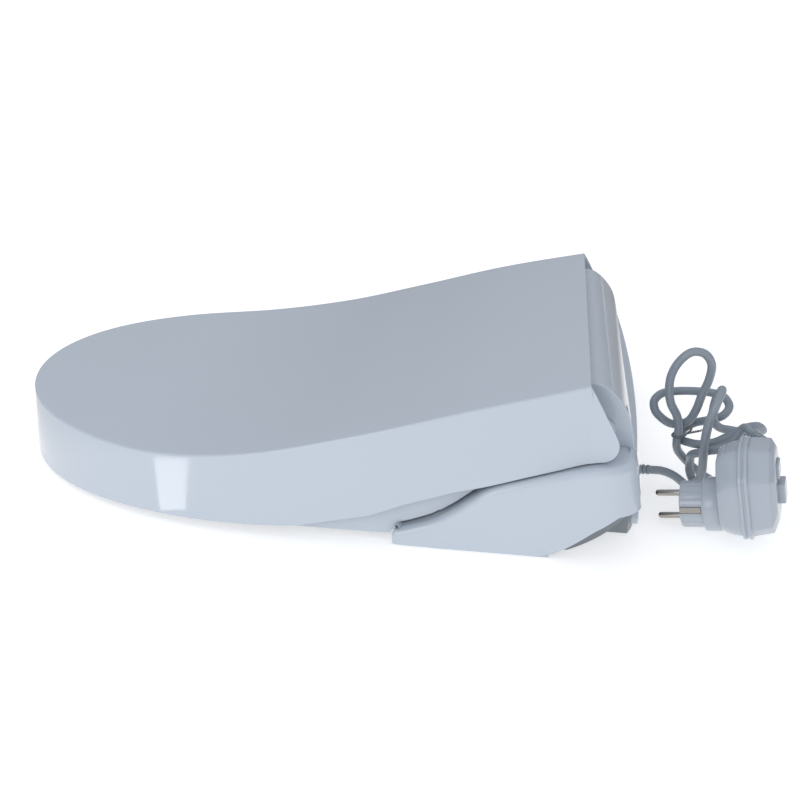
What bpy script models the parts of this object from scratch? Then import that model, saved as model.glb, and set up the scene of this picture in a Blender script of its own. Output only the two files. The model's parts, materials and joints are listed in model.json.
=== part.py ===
"""Electric bidet seat: lid, seat ring, main unit with its nozzle, heater and dryer, and its mains lead.

Metres, +Z up. X runs across the seat, -Y points to its front and +Y to the wall. The origin lies on the
bowl rim, under the middle of the assembly. The hinge line of lid and seat runs along X through HINGE.
"""

import math

import bmesh
import bpy
from mathutils import Matrix, Vector

MM = 0.001

# Driving dimensions
LID_HALF_WIDTH = 190 * MM
LID_FRONT = -266 * MM
LID_REAR = 221 * MM
LID_REAR_HALF_WIDTH = 177.3 * MM
LID_WIDEST = 50 * MM
LID_WALL = 3 * MM
SKIRT_FLARE = 4 * MM
CHEEK_RADIUS = 11.7 * MM
CHEEK_SLANT = math.radians(61)
FRONT_ROUNDNESS = 2.63
SEAT_INSET = 6.5 * MM
SEAT_FRONT = -257 * MM
SEAT_REAR = 125 * MM
SEAT_BELOW_LID = 13 * MM
SEAT_WALL = 2.5 * MM
HOLE_CENTRE = -54 * MM
HOLE_HALF_WIDTH = 112 * MM
HOLE_HALF_LENGTH = 141 * MM
HINGE = Vector((0, 231.5 * MM, 88 * MM))
UNIT_HALF_WIDTH = 150 * MM
UNIT_FRONT = 128 * MM
UNIT_WALL = 2.5 * MM
PANEL_OUTER = 190.5 * MM
PANEL_INNER = 150.3 * MM
PANEL_WALL = 3 * MM
PANEL_CORNER = 27 * MM
LEDGE = 74.5 * MM

# Heights along the object, as (y, z) pairs in millimetres
LID_TOP = [(-266, 61.5), (-184.8, 57.6), (-103.7, 56.6), (-22.5, 67.1), (58.7, 87.8), (139.8, 111.2),
           (221, 131.2)]
LID_BOTTOM = [(-270, 3), (-120, 7), (-50, 9), (10, 13), (40, 20), (70, 27.5), (97, 38.5), (115, 44.5),
              (130, 50), (146, 54.5), (163, 59.5), (177, 64), (204, 71), (217, 75.5), (231.5, 76.3)]
WING_TOP = [(85, 13), (100, 17.5), (115, 23.5), (130, 33), (142, 42.5), (153, 51), (163, 55.5), (177, 60),
            (204, 68), (217, 71.5), (232, 74.5), (270, 74.5)]
WING_BOTTOM = [(85, 2.5), (120, 2), (204, 2), (244, 37), (270, 37)]
TOP_CASE_PROFILE = [(128, 71.3), (128, 83), (134, 91), (150, 100), (175, 110.5), (200, 118), (222, 123),
                    (236, 118), (249, 103), (255, 84), (256.5, 71.3)]

# Mains lead
CORD_DIAMETER = 6.8 * MM
CORD_SPACING = 12 * MM
CORD_ROUTE = [
    (75, 278.3, 20.5), (75, 287, 20.3), (76, 297, 17), (81, 308, 10.5), (87, 320, 6), (93, 334, 4),
    (99, 349, 3.8), (95, 363, 3.8), (81, 367, 3.8), (70, 358, 3.8), (65, 343, 4.2), (60, 330, 7),
    (58.5, 320.5, 12), (59, 312, 19), (60, 304, 27), (63.5, 298.5, 35.5), (67, 297, 45),
    (66, 297.5, 55), (65, 295, 65), (65, 289.5, 75), (64, 287, 86), (63, 287.5, 98.5),
    (63, 292.5, 110.5), (63, 301, 118.5), (62, 310.5, 117.5), (61, 317, 109), (60, 317, 96),
    (60, 313, 82), (60, 310, 69), (58.5, 305.5, 58.5), (57, 299, 54.5), (56, 292, 54),
    (55.5, 285.5, 57.5), (53, 279.5, 63), (50, 278, 70), (47, 283, 75.5), (45.5, 294, 78),
    (44, 311.5, 78.5), (42, 323.5, 77), (43, 333, 74.5), (49.5, 337, 69), (55.5, 332, 63.5),
    (55, 321, 58.5), (51, 311.5, 53.5), (50.5, 304, 47.5), (57.5, 301, 42), (66.5, 306.5, 43),
    (76, 314.5, 46.5), (78, 324.5, 50), (79, 332, 55), (80.5, 340, 61.5), (82, 347.5, 66.5),
    (80.5, 354, 67), (75, 359.5, 61.5), (68, 358.5, 58), (64, 348, 54), (64, 338, 55), (65, 329, 57),
    (69, 322.5, 65.5), (75.5, 321, 83.5), (80, 323, 93.5), (89, 322.5, 98.5), (97, 319.5, 94.5),
    (101, 316, 85), (100, 314, 74), (98, 313.5, 62.5), (95, 314, 50.5), (91.5, 315, 39), (87, 316, 28),
    (82.5, 315, 18.5), (74.5, 312, 14), (68, 309.5, 19), (68.5, 309, 28), (74.5, 308.5, 36),
    (81.5, 312.5, 41.5), (86, 319.5, 46), (90.5, 328, 50.5), (91.5, 334.5, 57),
]

# Tie round two neighbouring strands of the lead: their centres at its height, in millimetres
TIE_STRANDS = [Vector((66.6, 297.2)), Vector((50.9, 305.5))]
TIE_HEIGHT = 48.4

# Plug with its residual-current block: pins point along local +Z from the middle of its face, local +Y is up
PLUG_FACE = Vector((124, 298.8, 18)) * MM
PLUG_PITCH = math.radians(12.2)
PLUG_YAW = math.radians(-14)
PLUG_GLAND = Vector((-21.5, 39, -60)) * MM
PLUG_GLAND_AXIS = Vector((-0.78, 0.18, 0.6))
GLAND_LENGTH = 15 * MM

# Nozzle: its axis runs forward and down through the front wall
NOZZLE_SLOPE = math.radians(24)
NOZZLE_EXIT = Vector((0, 128, 24)) * MM
NOZZLE_PARKED = 45 * MM
NOZZLE_TRAVEL = 105 * MM
SHUTTER_HINGE = Vector((0, 126.6, 50)) * MM


def clear_scene():
    for obj in list(bpy.data.objects):
        bpy.data.objects.remove(obj, do_unlink=True)


def material(name, colour, roughness, metallic=0.0):
    made = bpy.data.materials.new(name)
    made.use_nodes = True
    shader = made.node_tree.nodes["Principled BSDF"]
    shader.inputs["Base Color"].default_value = (*colour, 1)
    shader.inputs["Roughness"].default_value = roughness
    shader.inputs["Metallic"].default_value = metallic
    return made


def build(name, shape, finish, hub=None):
    """A mesh object from (points, faces) in world metres. hub is the empty on its joint's axis."""
    points, faces = shape
    offset = hub.location if hub else Vector((0, 0, 0))
    mesh = bpy.data.meshes.new(name)
    mesh.from_pydata([Vector(p) - offset for p in points], [], faces)
    tidy = bmesh.new()
    tidy.from_mesh(mesh)
    bmesh.ops.remove_doubles(tidy, verts=tidy.verts, dist=0.00001)
    bmesh.ops.recalc_face_normals(tidy, faces=tidy.faces)
    tidy.to_mesh(mesh)
    tidy.free()
    mesh.shade_smooth()
    mesh.set_sharp_from_angle(angle=math.radians(30))
    mesh.materials.append(finish)
    obj = bpy.data.objects.new(name, mesh)
    bpy.context.scene.collection.objects.link(obj)
    obj.parent = hub
    return obj


def empty(name, place):
    hub = bpy.data.objects.new(name, None)
    hub.location = place
    bpy.context.scene.collection.objects.link(hub)
    return hub


def combine(obj, operation, *shapes):
    """Boolean of obj with each shape, kept as modifiers with hidden cutters."""
    for shape in shapes:
        cutter = build(f"{obj.name}_{operation.lower()}_{len(obj.modifiers)}", shape, obj.data.materials[0])
        cutter.hide_render = True
        cutter.display_type = "WIRE"
        modifier = obj.modifiers.new(operation.title(), "BOOLEAN")
        modifier.operation = operation
        modifier.solver = "EXACT"
        modifier.object = cutter
    return obj


def cut(obj, *shapes):
    return combine(obj, "DIFFERENCE", *shapes)


def fuse(obj, *shapes):
    return combine(obj, "UNION", *shapes)


def loft(rings, closed=False):
    """Skins a row of rings of equal length. Closed joins the last ring to the first, else both ends are capped."""
    size = len(rings[0])
    points = [p for ring in rings for p in ring]
    faces = []
    spans = len(rings) if closed else len(rings) - 1
    for i in range(spans):
        a, b = i * size, (i + 1) % len(rings) * size
        faces += [(a + j, a + (j + 1) % size, b + (j + 1) % size, b + j) for j in range(size)]
    if not closed:
        faces += [tuple(range(size)), tuple(range(len(points) - size, len(points)))]
    return points, faces


def prism(axis, outline, low, high):
    """Extrudes an outline along an axis. The outline is (y, z) for X, (x, z) for Y and (x, y) for Z."""
    place = {"X": lambda a, b, h: (h, a, b), "Y": lambda a, b, h: (a, h, b), "Z": lambda a, b, h: (a, b, h)}[axis]
    return loft([[place(a, b, h) for a, b in outline] for h in (low, high)])


def box(x, y, z):
    """A block in millimetres from three (low, high) pairs."""
    return prism("Z", [(x[i] * MM, y[j] * MM) for i, j in ((0, 0), (1, 0), (1, 1), (0, 1))], z[0] * MM, z[1] * MM)


def moved(shape, matrix):
    points, faces = shape
    return [matrix @ Vector(p) for p in points], faces


def turned(profile, matrix=Matrix(), sides=24):
    """Turns (radius, height) pairs in millimetres, from the axis back to the axis, about local Z."""
    ring_profile = profile[1:-1]
    rings = [
        [(r * MM * math.cos(2 * math.pi * k / sides), r * MM * math.sin(2 * math.pi * k / sides), h * MM)
         for k in range(sides)]
        for r, h in ring_profile
    ]
    return moved(loft(rings), matrix)


def rod(radius, start, end, sides=20):
    """A plain cylinder between two points in millimetres."""
    start, end = Vector(start), Vector(end)
    matrix = Matrix.Translation(start * MM) @ (end - start).to_track_quat("Z", "Y").to_matrix().to_4x4()
    length = (end - start).length
    return turned([(0, 0), (radius, 0), (radius, length), (0, length)], matrix, sides)


def tube(outer, inner, start, end, sides=24):
    """A cylinder with a through bore, between two points in millimetres."""
    start, end = Vector(start), Vector(end)
    matrix = Matrix.Translation(start * MM) @ (end - start).to_track_quat("Z", "Y").to_matrix().to_4x4()
    length = (end - start).length
    section = [(outer, 0), (outer, length), (inner, length), (inner, 0)]
    rings = [
        [(r * MM * math.cos(2 * math.pi * k / sides), r * MM * math.sin(2 * math.pi * k / sides), h * MM)
         for r, h in section]
        for k in range(sides)
    ]
    return moved(loft(rings, closed=True), matrix)


def rounded(half_x, half_y, radius, steps=4, centre=(0, 0)):
    """Outline of a rounded rectangle."""
    points = []
    for quarter, (sx, sy) in enumerate(((1, 1), (-1, 1), (-1, -1), (1, -1))):
        for k in range(steps + 1):
            angle = math.pi / 2 * (quarter + k / steps)
            points.append((centre[0] + sx * (half_x - radius) + radius * math.cos(angle),
                           centre[1] + sy * (half_y - radius) + radius * math.sin(angle)))
    return points


def arc(centre, radius, start, end, steps):
    """Points on an arc, angles in degrees."""
    angles = [math.radians(start + (end - start) * k / steps) for k in range(steps + 1)]
    return [(centre[0] + radius * math.cos(a), centre[1] + radius * math.sin(a)) for a in angles]


def linear(table, y):
    """Height at y from straight lines between (y, z) pairs in millimetres."""
    y = y / MM
    for (y0, z0), (y1, z1) in zip(table, table[1:]):
        if y <= y1:
            return (z0 + (z1 - z0) * max(0.0, (y - y0) / (y1 - y0))) * MM
    return table[-1][1] * MM


def smooth(table, y):
    """Height at y from a Catmull-Rom curve through (y, z) pairs in millimetres."""
    y = min(max(y / MM, table[0][0]), table[-1][0])
    i = max(k for k in range(len(table) - 1) if table[k][0] <= y)
    rows = [table[max(0, min(len(table) - 1, i + k))] for k in (-1, 0, 1, 2)]
    (ya, za), (y0, z0), (y1, z1), (yb, zb) = rows
    t = (y - y0) / (y1 - y0)
    m0 = (z1 - za) / (y1 - ya) * (y1 - y0)
    m1 = (zb - z0) / (yb - y0) * (y1 - y0)
    height = (2 * t**3 - 3 * t**2 + 1) * z0 + (t**3 - 2 * t**2 + t) * m0
    height += (3 * t**2 - 2 * t**3) * z1 + (t**3 - t**2) * m1
    return height * MM


def half_width(y):
    """Half the lid's width at its top edge."""
    if y < LID_WIDEST:
        share = min(1.0, (LID_WIDEST - y) / (LID_WIDEST - LID_FRONT))
        return LID_HALF_WIDTH * math.sqrt(max(0.0, 1 - share**FRONT_ROUNDNESS))
    share = (y - LID_WIDEST) / (LID_REAR - LID_WIDEST)
    return LID_HALF_WIDTH + (LID_REAR_HALF_WIDTH - LID_HALF_WIDTH) * min(1.0, share) ** 2


def cheek_top(y):
    """Upper edge of the cheek behind the lid's top: a slanted line that runs into the round corner."""
    if y < HINGE.y + CHEEK_RADIUS * math.sin(CHEEK_SLANT):
        return smooth(LID_TOP, LID_REAR) - (y - LID_REAR) * math.tan(CHEEK_SLANT)
    return HINGE.z + math.sqrt(max(0.0, CHEEK_RADIUS**2 - (y - HINGE.y) ** 2))


def cheek_bottom(y):
    if y <= HINGE.y:
        return linear(LID_BOTTOM, y)
    return HINGE.z - math.sqrt(max(0.0, CHEEK_RADIUS**2 - (y - HINGE.y) ** 2))


def lid_rows():
    rows = 34
    return [LID_FRONT + (LID_REAR - LID_FRONT) * (k / rows) ** 1.9 for k in range(1, rows + 1)]


def lid_skin():
    """Outer surface of the lid: its top, and a skirt that flares out to the lower edge."""
    columns = 6
    points = [(0, LID_FRONT, smooth(LID_TOP, LID_FRONT))]
    rows = lid_rows()
    for y in rows:
        for k in range(2 * columns + 1):
            points.append((half_width(y) * (k / columns - 1), y, smooth(LID_TOP, y)))
    width = 2 * columns + 1
    faces = [(0, 2 + k, 1 + k) for k in range(width - 1)]
    for r in range(len(rows) - 1):
        a = 1 + r * width
        faces += [(a + k, a + k + 1, a + k + 1 + width, a + k + width) for k in range(width - 1)]
    stations = [(LID_FRONT, 0)] + [(y, 1 + r * width) for r, y in enumerate(rows)]
    for side in (-1, 1):
        previous = None
        for y, index in stations:
            edge = index if side < 0 or index == 0 else index + width - 1
            lower = skirt_point(side, y, linear(LID_BOTTOM, y))
            points.append(lower)
            current = (edge, len(points) - 1)
            if previous:
                faces.append((previous[0], current[0], current[1], previous[1]))
            previous = current
        tip = HINGE.y + CHEEK_RADIUS
        for k in range(1, 9):
            y = LID_REAR + (tip - LID_REAR) * math.sin(math.pi / 2 * k / 8)
            points.append(skirt_point(side, y, cheek_top(y)))
            points.append(skirt_point(side, y, cheek_bottom(y)))
            current = (len(points) - 2, len(points) - 1)
            faces.append((previous[0], current[0], current[1], previous[1]))
            previous = current
    return points, faces


def skirt_point(side, y, z):
    """Point on the flared skirt at height z."""
    top = smooth(LID_TOP, y)
    bottom = cheek_bottom(y)
    flare = SKIRT_FLARE * min(1.0, max(0.0, (top - z) / max(top - bottom, 1 * MM)))
    step = 0.5 * MM
    if y <= LID_FRONT:
        return (0, y - flare, z)
    slope = (half_width(y + step) - half_width(max(LID_FRONT, y - step))) / (2 * step)
    length = math.hypot(1, slope)
    return (side * (half_width(y) + flare / length), y - flare * slope / length, z)


def make_lid(hub, finish, rubber):
    lid = build("lid_shell", lid_skin(), finish, hub)
    wall = lid.modifiers.new("Wall", "SOLIDIFY")
    wall.thickness = LID_WALL
    wall.offset = -1
    wall.use_even_offset = True
    y, z = HINGE.y / MM, HINGE.z / MM
    for side in (-1, 1):
        fuse(lid, rod(9, (side * 171, y, z), (side * 178.2, y, z)))
        cut(lid, rod(4.4, (side * 170, y, z), (side * 175, y, z)))
    for name, x, y in (("lid_bumper_left", 92, -218), ("lid_bumper_right", -92, -218)):
        top = smooth(LID_TOP, y * MM) / MM - LID_WALL / MM - 0.6
        under = seat_top(y * MM) / MM + 1.2
        build(name, turned([(0, under), (5, under), (6, under + 1), (6, top), (0, top)],
                           Matrix.Translation((x * MM, y * MM, 0)), 16), rubber, hub)


def seat_top(y):
    return smooth(LID_TOP, y) - SEAT_BELOW_LID - max(0.0, y) * 0.05


def seat_underside(x, y):
    """Lower edge of the seat ring: level over the rim, rising over the wings and, inside them, over the nozzle."""
    over_wing = max(6.5 * MM, linear(WING_TOP, y) + 3.2 * MM if y > 80 * MM else 6.5 * MM)
    rise = min(1.0, max(0.0, (y - 20 * MM) / (55 * MM)))
    inside = min(1.0, max(0.0, (142 * MM - abs(x)) / (22 * MM)))
    over_nozzle = 6.5 * MM + (53 - 6.5) * MM * rise * rise * (3 - 2 * rise)
    return over_wing + (over_nozzle - over_wing) * inside if over_nozzle > over_wing else over_wing


def in_seat(x, y, inset):
    front = min(1.0, max(0.0, (LID_WIDEST - y) / (LID_WIDEST - SEAT_FRONT - inset)))
    side = half_width(max(y, LID_WIDEST)) - SEAT_INSET - inset
    return abs(x) < side * math.sqrt(1 - min(1.0, front**FRONT_ROUNDNESS)) and y < SEAT_REAR - inset


def seat_reach(angle, inset):
    """Distance from the hole's centre to the seat's outer edge in that direction."""
    low, high = 0.0, 400 * MM
    for _ in range(30):
        middle = (low + high) / 2
        inside = in_seat(middle * math.cos(angle), HOLE_CENTRE + middle * math.sin(angle), inset)
        low, high = (middle, high) if inside else (low, middle)
    return low


def hole_reach(angle, inset):
    x = abs(math.cos(angle)) / (HOLE_HALF_WIDTH + inset)
    y = abs(math.sin(angle)) / (HOLE_HALF_LENGTH + inset)
    return (x**2.3 + y**2.3) ** (-1 / 2.3)


def seat_rings(section, inner_inset=0.0, outer_inset=0.0, sides=72):
    """Carries a cross-section of (share of the width, height above the seat's top or underside) round the seat."""
    rings = []
    for k in range(sides):
        angle = 2 * math.pi * (k + 0.5) / sides
        inner, outer = hole_reach(angle, inner_inset), seat_reach(angle, outer_inset)
        ring = []
        for share, base, rise in section:
            reach = inner + (outer - inner) * share
            x, y = reach * math.cos(angle), HOLE_CENTRE + reach * math.sin(angle)
            height = seat_top(y) if base == "top" else seat_underside(x, y)
            ring.append((x, y, height + rise * MM))
        rings.append(ring)
    return rings


def seat_shoulder(side):
    """Corner of the seat that reaches back over the wing, between the lid's skirt and the arm."""
    profile = [(119, 31.2), (130, 36.6), (142, 46), (153, 54.2), (163, 58.8), (163, 70), (150, 80), (119, 76)]
    outline = [(a * MM, b * MM) for a, b in profile]
    return prism("X", outline, *sorted((side * 160 * MM, side * 178 * MM)))


def seat_arm(side):
    """Arm that carries the seat back beside the unit to the hinge, as a prism along X."""
    y, z = HINGE.y / MM, HINGE.z / MM
    profile = [(121, 39), (140, 50), (165, 62.5), (200, 76), (222, 78.4)]
    profile += arc((y, z), 10, -90, 90, 8)
    profile += [(205, 100), (180, 99), (150, 94), (121, 82)]
    outline = [(a * MM, b * MM) for a, b in profile]
    return prism("X", outline, *sorted((side * 152 * MM, side * 170.3 * MM)))


def make_seat(hub, finish, base_finish, rubber, foil):
    wall = SEAT_WALL / MM
    upper = [(0, "under", 0), (0, "top", -12), (0.08, "top", -5), (0.3, "top", -0.8), (0.55, "top", 0),
             (0.82, "top", -1.5), (0.95, "top", -5), (1, "top", -11), (1, "under", 0)]
    share = 0.04
    inner = [(1 - share, "under", 0), (1 - share, "top", -11), (0.9, "top", -6.5), (0.55, "top", -wall),
             (0.12, "top", -8), (share, "top", -13), (share, "under", 0)]
    shell = build("seat_upper_shell", loft(seat_rings(upper + inner), closed=True), finish, hub)
    y, z = HINGE.y / MM, HINGE.z / MM
    for side in (-1, 1):
        fuse(shell, seat_arm(side), seat_shoulder(side))
    for side in (-1, 1):
        cut(shell, rod(4.4, (side * 149, y, z), (side * 172, y, z)))
    plate = [(0, "under", 1.2), (0, "under", 3.6), (1, "under", 3.6), (1, "under", 1.2)]
    build("seat_base_plate", loft(seat_rings(plate, 6 * MM, 6 * MM), closed=True), base_finish, hub)
    heater = [(0.2, "top", -7.6), (0.2, "top", -7), (0.8, "top", -7), (0.8, "top", -7.6)]
    build("seat_heater_foil", loft(seat_rings(heater, 8 * MM, 8 * MM), closed=True), foil, hub)
    for name, x, y in (("seat_bumper_front_left", 98, -190), ("seat_bumper_front_right", -98, -190),
                       ("seat_bumper_rear_left", 150, 20), ("seat_bumper_rear_right", -150, 20)):
        profile = [(0, 0), (8, 0), (9, 1.2), (9, 7.2), (0, 7.2)]
        build(name, turned(profile, Matrix.Translation((x * MM, y * MM, 0)), 20), rubber, hub)


def panel_plan(inset):
    """Plan of a side panel on the +X side, from its tip round the rear corner."""
    outer = PANEL_OUTER - inset
    radius = PANEL_CORNER - inset
    centre = (PANEL_OUTER - PANEL_CORNER, 231 * MM)
    inner = PANEL_INNER if inset == 0 else PANEL_INNER - 2 * MM
    corner = arc(centre, radius, 0, 90, 6)
    return [(inner, 85 * MM), (outer, 85 * MM)] + corner + [(inner, centre[1] + radius)]


def band(upper, lower, drop=0.0):
    """Side-view outline between two height tables."""
    top = [(y * MM, z * MM - drop) for y, z in upper]
    return [(y * MM, z * MM) for y, z in lower] + top[::-1]


def mirrored(shape, side):
    points, faces = shape
    return [(side * p[0], p[1], p[2]) for p in points], faces


def make_side_panel(name, side, finish):
    panel = build(name, mirrored(prism("Z", panel_plan(0), 0, 80 * MM), side), finish)
    combine(panel, "INTERSECT", mirrored(prism("X", band(WING_TOP, WING_BOTTOM), 0.14, 0.2), side))
    roof = [(y * MM, (z - 3) * MM) for y, z in WING_TOP if y > 90]
    hollow = [(roof[0][0], -5 * MM)] + roof + [(roof[-1][0], -5 * MM)]
    inner = [(x, y) for x, y in panel_plan(PANEL_WALL)]
    split = 127 * MM
    front = [(x, y) for x, y in ((153 * MM, 99 * MM), (inner[1][0], 99 * MM))]
    front += [(x, split + 0.5 * MM) for x, _ in front[::-1]]
    rear = [(inner[0][0], split)] + [(inner[1][0], split)] + inner[2:]
    for plan in (front, rear):
        room = mirrored(prism("Z", plan, -10 * MM, 90 * MM), side)
        core = build(f"{name}_core_{len(panel.modifiers)}", room, finish)
        core.hide_render = True
        core.display_type = "WIRE"
        combine(core, "INTERSECT", mirrored(prism("X", hollow, 0.1, 0.25), side))
        modifier = panel.modifiers.new("Hollow", "BOOLEAN")
        modifier.operation = "DIFFERENCE"
        modifier.object = core
    return panel


def bowed(y_end, bow, thickness=None, half=UNIT_HALF_WIDTH, steps=12):
    """Plan of a strip bowed towards the wall, or of the whole area in front of it."""
    xs = [half * (2 * k / steps - 1) for k in range(steps + 1)]
    outer = [(x, y_end + bow * (1 - (x / half) ** 2)) for x in xs]
    if thickness is None:
        return outer + [(half, 250 * MM), (-half, 250 * MM)]
    return outer + [(x, y - thickness) for x, y in outer[::-1]]


def nozzle_frame(slide):
    """Local +Z points forward along the nozzle, and the origin is its tip when slid out by that much."""
    forward = Vector((0, -math.cos(NOZZLE_SLOPE), -math.sin(NOZZLE_SLOPE)))
    place = NOZZLE_EXIT + forward * (slide - NOZZLE_PARKED)
    return Matrix.Translation(place) @ Matrix.Rotation(math.pi / 2 + NOZZLE_SLOPE, 4, "X")


def make_cases(drain_hub, white, grey):
    half = UNIT_HALF_WIDTH / MM
    tub = build("bottom_case", box((-147, 147), (128, 254), (7, 71)), grey)
    skirt = [(a * MM, b * MM) for a, b in arc((123, 207), 55, 0, 90, 6)]
    skirt += [(a * MM, b * MM) for a, b in arc((-123, 207), 55, 90, 180, 6)]
    fuse(tub, prism("Z", skirt, 2 * MM, 36.6 * MM))
    cut(tub, box((-144.5, 144.5), (130.5, 251.5), (9.5, 90)))
    cut(tub, box((-132, 132), (150, 236), (-5, 8.4)))
    cut(tub, box((-15, 15), (120, 135), (9.8, 42)))
    cut(tub, box((-73, -51), (120, 135), (15, 31)))
    cut(tub, rod(5.2, (75, 240, 20.5), (75, 270, 20.5)))
    cut(tub, rod(11.5, (-120, 240, 24), (-120, 270, 24)))
    cut(tub, rod(6.5, (134.5, 254.2, 10), (134.5, 270, 10)))
    top = build("top_case", prism("X", [(a * MM, b * MM) for a, b in TOP_CASE_PROFILE], -half * MM, half * MM), white)
    fuse(top, prism("Z", bowed(258 * MM, 4.6 * MM), 71.3 * MM, LEDGE))
    wall = UNIT_WALL / MM
    inner = [(130.5, 60), (130.5, 82), (135.5, 89), (151, 97.5), (176, 107.8), (200.6, 115.4), (221, 120.3),
             (234.4, 116.4), (246.8, 102), (252.6, 84), (254, 60)]
    cut(top, prism("X", [(a * MM, b * MM) for a, b in inner], -(half - wall) * MM, (half - wall) * MM))
    y, z = HINGE.y / MM, HINGE.z / MM
    for side in (-1, 1):
        cut(top, rod(4.4, (side * 146, y, z), (side * 152, y, z)))
    leaning = [(37 * MM, 259 * MM), (71 * MM, 258 * MM)]
    rings = [[(x, y, z) for x, y in bowed(end, 5 * MM, UNIT_WALL)] for z, end in leaning]
    build("rear_cover", loft(rings), white)
    build("drain_cap", rod(6, (134.5, 254.8, 10), (134.5, 265.6, 10)), white, drain_hub)
    make_side_panel("side_panel_left", 1, white)
    right = make_side_panel("side_panel_right", -1, white)
    cut(right, box((-200, -180), (150, 180), (8, 30)), box((-200, -180), (185.6, 202.4), (11.6, 20.4)))
    cut(right, rod(6.4, (-200, 200, 45), (-180, 200, 45)), rod(6.4, (-200, 222, 53), (-180, 222, 53)))


def make_hinge(steel, grey):
    y, z = HINGE.y / MM, HINGE.z / MM
    for name, side in (("hinge_pin_left", 1), ("hinge_pin_right", -1)):
        build(name, rod(4, (side * 142, y, z), (side * 174.6, y, z)), steel)
    damper = [(0, 0), (9, 0), (9, 44), (4, 44), (4, 46), (0, 46)]
    for name, side in (("lid_damper", 1), ("seat_damper", -1)):
        build(name, turned(damper, across(side * 95, y, z, side), 20), grey)


def make_nozzle(hub, shutter_hub, white, steel, grey):
    parked = nozzle_frame(0)
    wand = [(0, -86), (6, -86), (7, -85), (7, -24), (0, -24)]
    build("nozzle_wand", turned(wand, parked, 20), white, hub)
    build("nozzle_tip", turned([(0, -23.6), (7, -23.6), (7, -3), (5.5, 0), (0, 0)], parked, 20), steel, hub)
    channel = [(-11, -10), (11, -10), (11, 4), (8.4, 4), (8.4, -7.4), (-8.4, -7.4), (-8.4, 4), (-11, 4)]
    rail = loft([[(x * MM, y * MM, h * MM) for x, y in channel] for h in (-84, 34)])
    guide = build("nozzle_guide", moved(rail, parked), grey)
    cut(guide, box((-30, 30), (100, 131), (0, 60)), box((-30, 30), (130, 260), (-20, 9.9)))
    x, y, z = SHUTTER_HINGE / MM
    flap = build("nozzle_shutter", box((-14, 14), (y - 0.9, y + 0.9), (12, z)), white, shutter_hub)
    fuse(flap, rod(1.3, (-14.4, y, z), (14.4, y, z), 12))
    build("nozzle_motor", turned([(0, 0), (12, 0), (12, 17), (3, 17), (3, 19), (0, 19)],
                                 across(33, 200, 82, -1), 20), steel)


def across(x, y, z, side=1):
    """Frame at a point in millimetres whose local +Z runs along X, towards the side given."""
    return Matrix.Translation(Vector((x, y, z)) * MM) @ Matrix.Rotation(side * math.pi / 2, 4, "Y")


def hose(name, radius, route, finish, spacing, sides=2):
    """A flexible tube along a smooth curve through the route's points, in millimetres."""
    curve = bpy.data.curves.new(name, "CURVE")
    curve.dimensions = "3D"
    curve.bevel_depth = radius
    curve.bevel_resolution = sides
    curve.use_fill_caps = True
    points = even_points(route, spacing)
    spline = curve.splines.new("POLY")
    spline.points.add(len(points) - 1)
    for target, point in zip(spline.points, points):
        target.co = (*point, 1)
    curve.materials.append(finish)
    obj = bpy.data.objects.new(name, curve)
    bpy.context.scene.collection.objects.link(obj)
    return obj


def even_points(route, spacing):
    """Points at equal steps along a centripetal Catmull-Rom curve through the route."""
    knots = [Vector(p) * MM for p in route]
    knots = [2 * knots[0] - knots[1]] + knots + [2 * knots[-1] - knots[-2]]
    fine = []
    for i in range(1, len(knots) - 2):
        fine += [curve_point(knots[i - 1:i + 3], k / 16) for k in range(16)]
    fine.append(knots[-2])
    lengths = [0.0]
    for a, b in zip(fine, fine[1:]):
        lengths.append(lengths[-1] + (b - a).length)
    count = round(lengths[-1] / spacing)
    points = []
    span = 0
    for k in range(count + 1):
        goal = lengths[-1] * k / count
        while span < len(fine) - 2 and lengths[span + 1] < goal:
            span += 1
        share = (goal - lengths[span]) / (lengths[span + 1] - lengths[span])
        points.append(fine[span].lerp(fine[span + 1], min(1.0, share)))
    return points


def curve_point(p, t):
    """Centripetal Catmull-Rom point between p[1] and p[2]."""
    k = [0.0]
    for a, b in zip(p, p[1:]):
        k.append(k[-1] + math.sqrt((b - a).length))
    u = k[1] + (k[2] - k[1]) * t
    first = [p[i].lerp(p[i + 1], (u - k[i]) / (k[i + 1] - k[i])) for i in range(3)]
    second = [first[i].lerp(first[i + 1], (u - k[i]) / (k[i + 2] - k[i])) for i in range(2)]
    return second[0].lerp(second[1], (u - k[1]) / (k[2] - k[1]))


def make_water_path(white, grey, steel, rubber):
    outline = [(a * MM, b * MM) for a, b in rounded(34, 38, 8, 3, (70, 192))]
    tank = build("heater_tank", prism("Z", outline, 10 * MM, 68 * MM), grey)
    cut(tank, box((40, 100), (158, 226), (14, 64)), rod(3, (70, 192, 60), (70, 192, 75)))
    build("heater_element", tube(15, 11, (70, 192, 22), (70, 192, 52)), steel)
    build("solenoid_valve", rod(13, (-118, 205, 10), (-118, 205, 50)), grey)
    backward = Matrix.Translation(Vector((-120, 236, 24)) * MM) @ Matrix.Rotation(-math.pi / 2, 4, "X")
    inlet = build("water_inlet", turned([(0, 0), (8, 0), (8, 10), (11, 10), (11, 34), (0, 34)], backward, 24), steel)
    cut(inlet, rod(5, (-120, 245, 24), (-120, 280, 24)))
    route = [(-118, 205, 50.5), (-118, 203, 66), (-108, 197, 82), (-80, 188, 90), (-30, 180, 93), (20, 180, 93),
             (52, 186, 90), (67, 191, 80), (70, 192, 68.4)]
    hose("water_hose", 3 * MM, route, rubber, 8 * MM)


def make_boards(green):
    build("control_board", box((-40, 140), (231, 250), (12, 13.6)), green)
    build("power_board", box((108, 142), (140, 226), (12, 13.6)), green)


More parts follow.
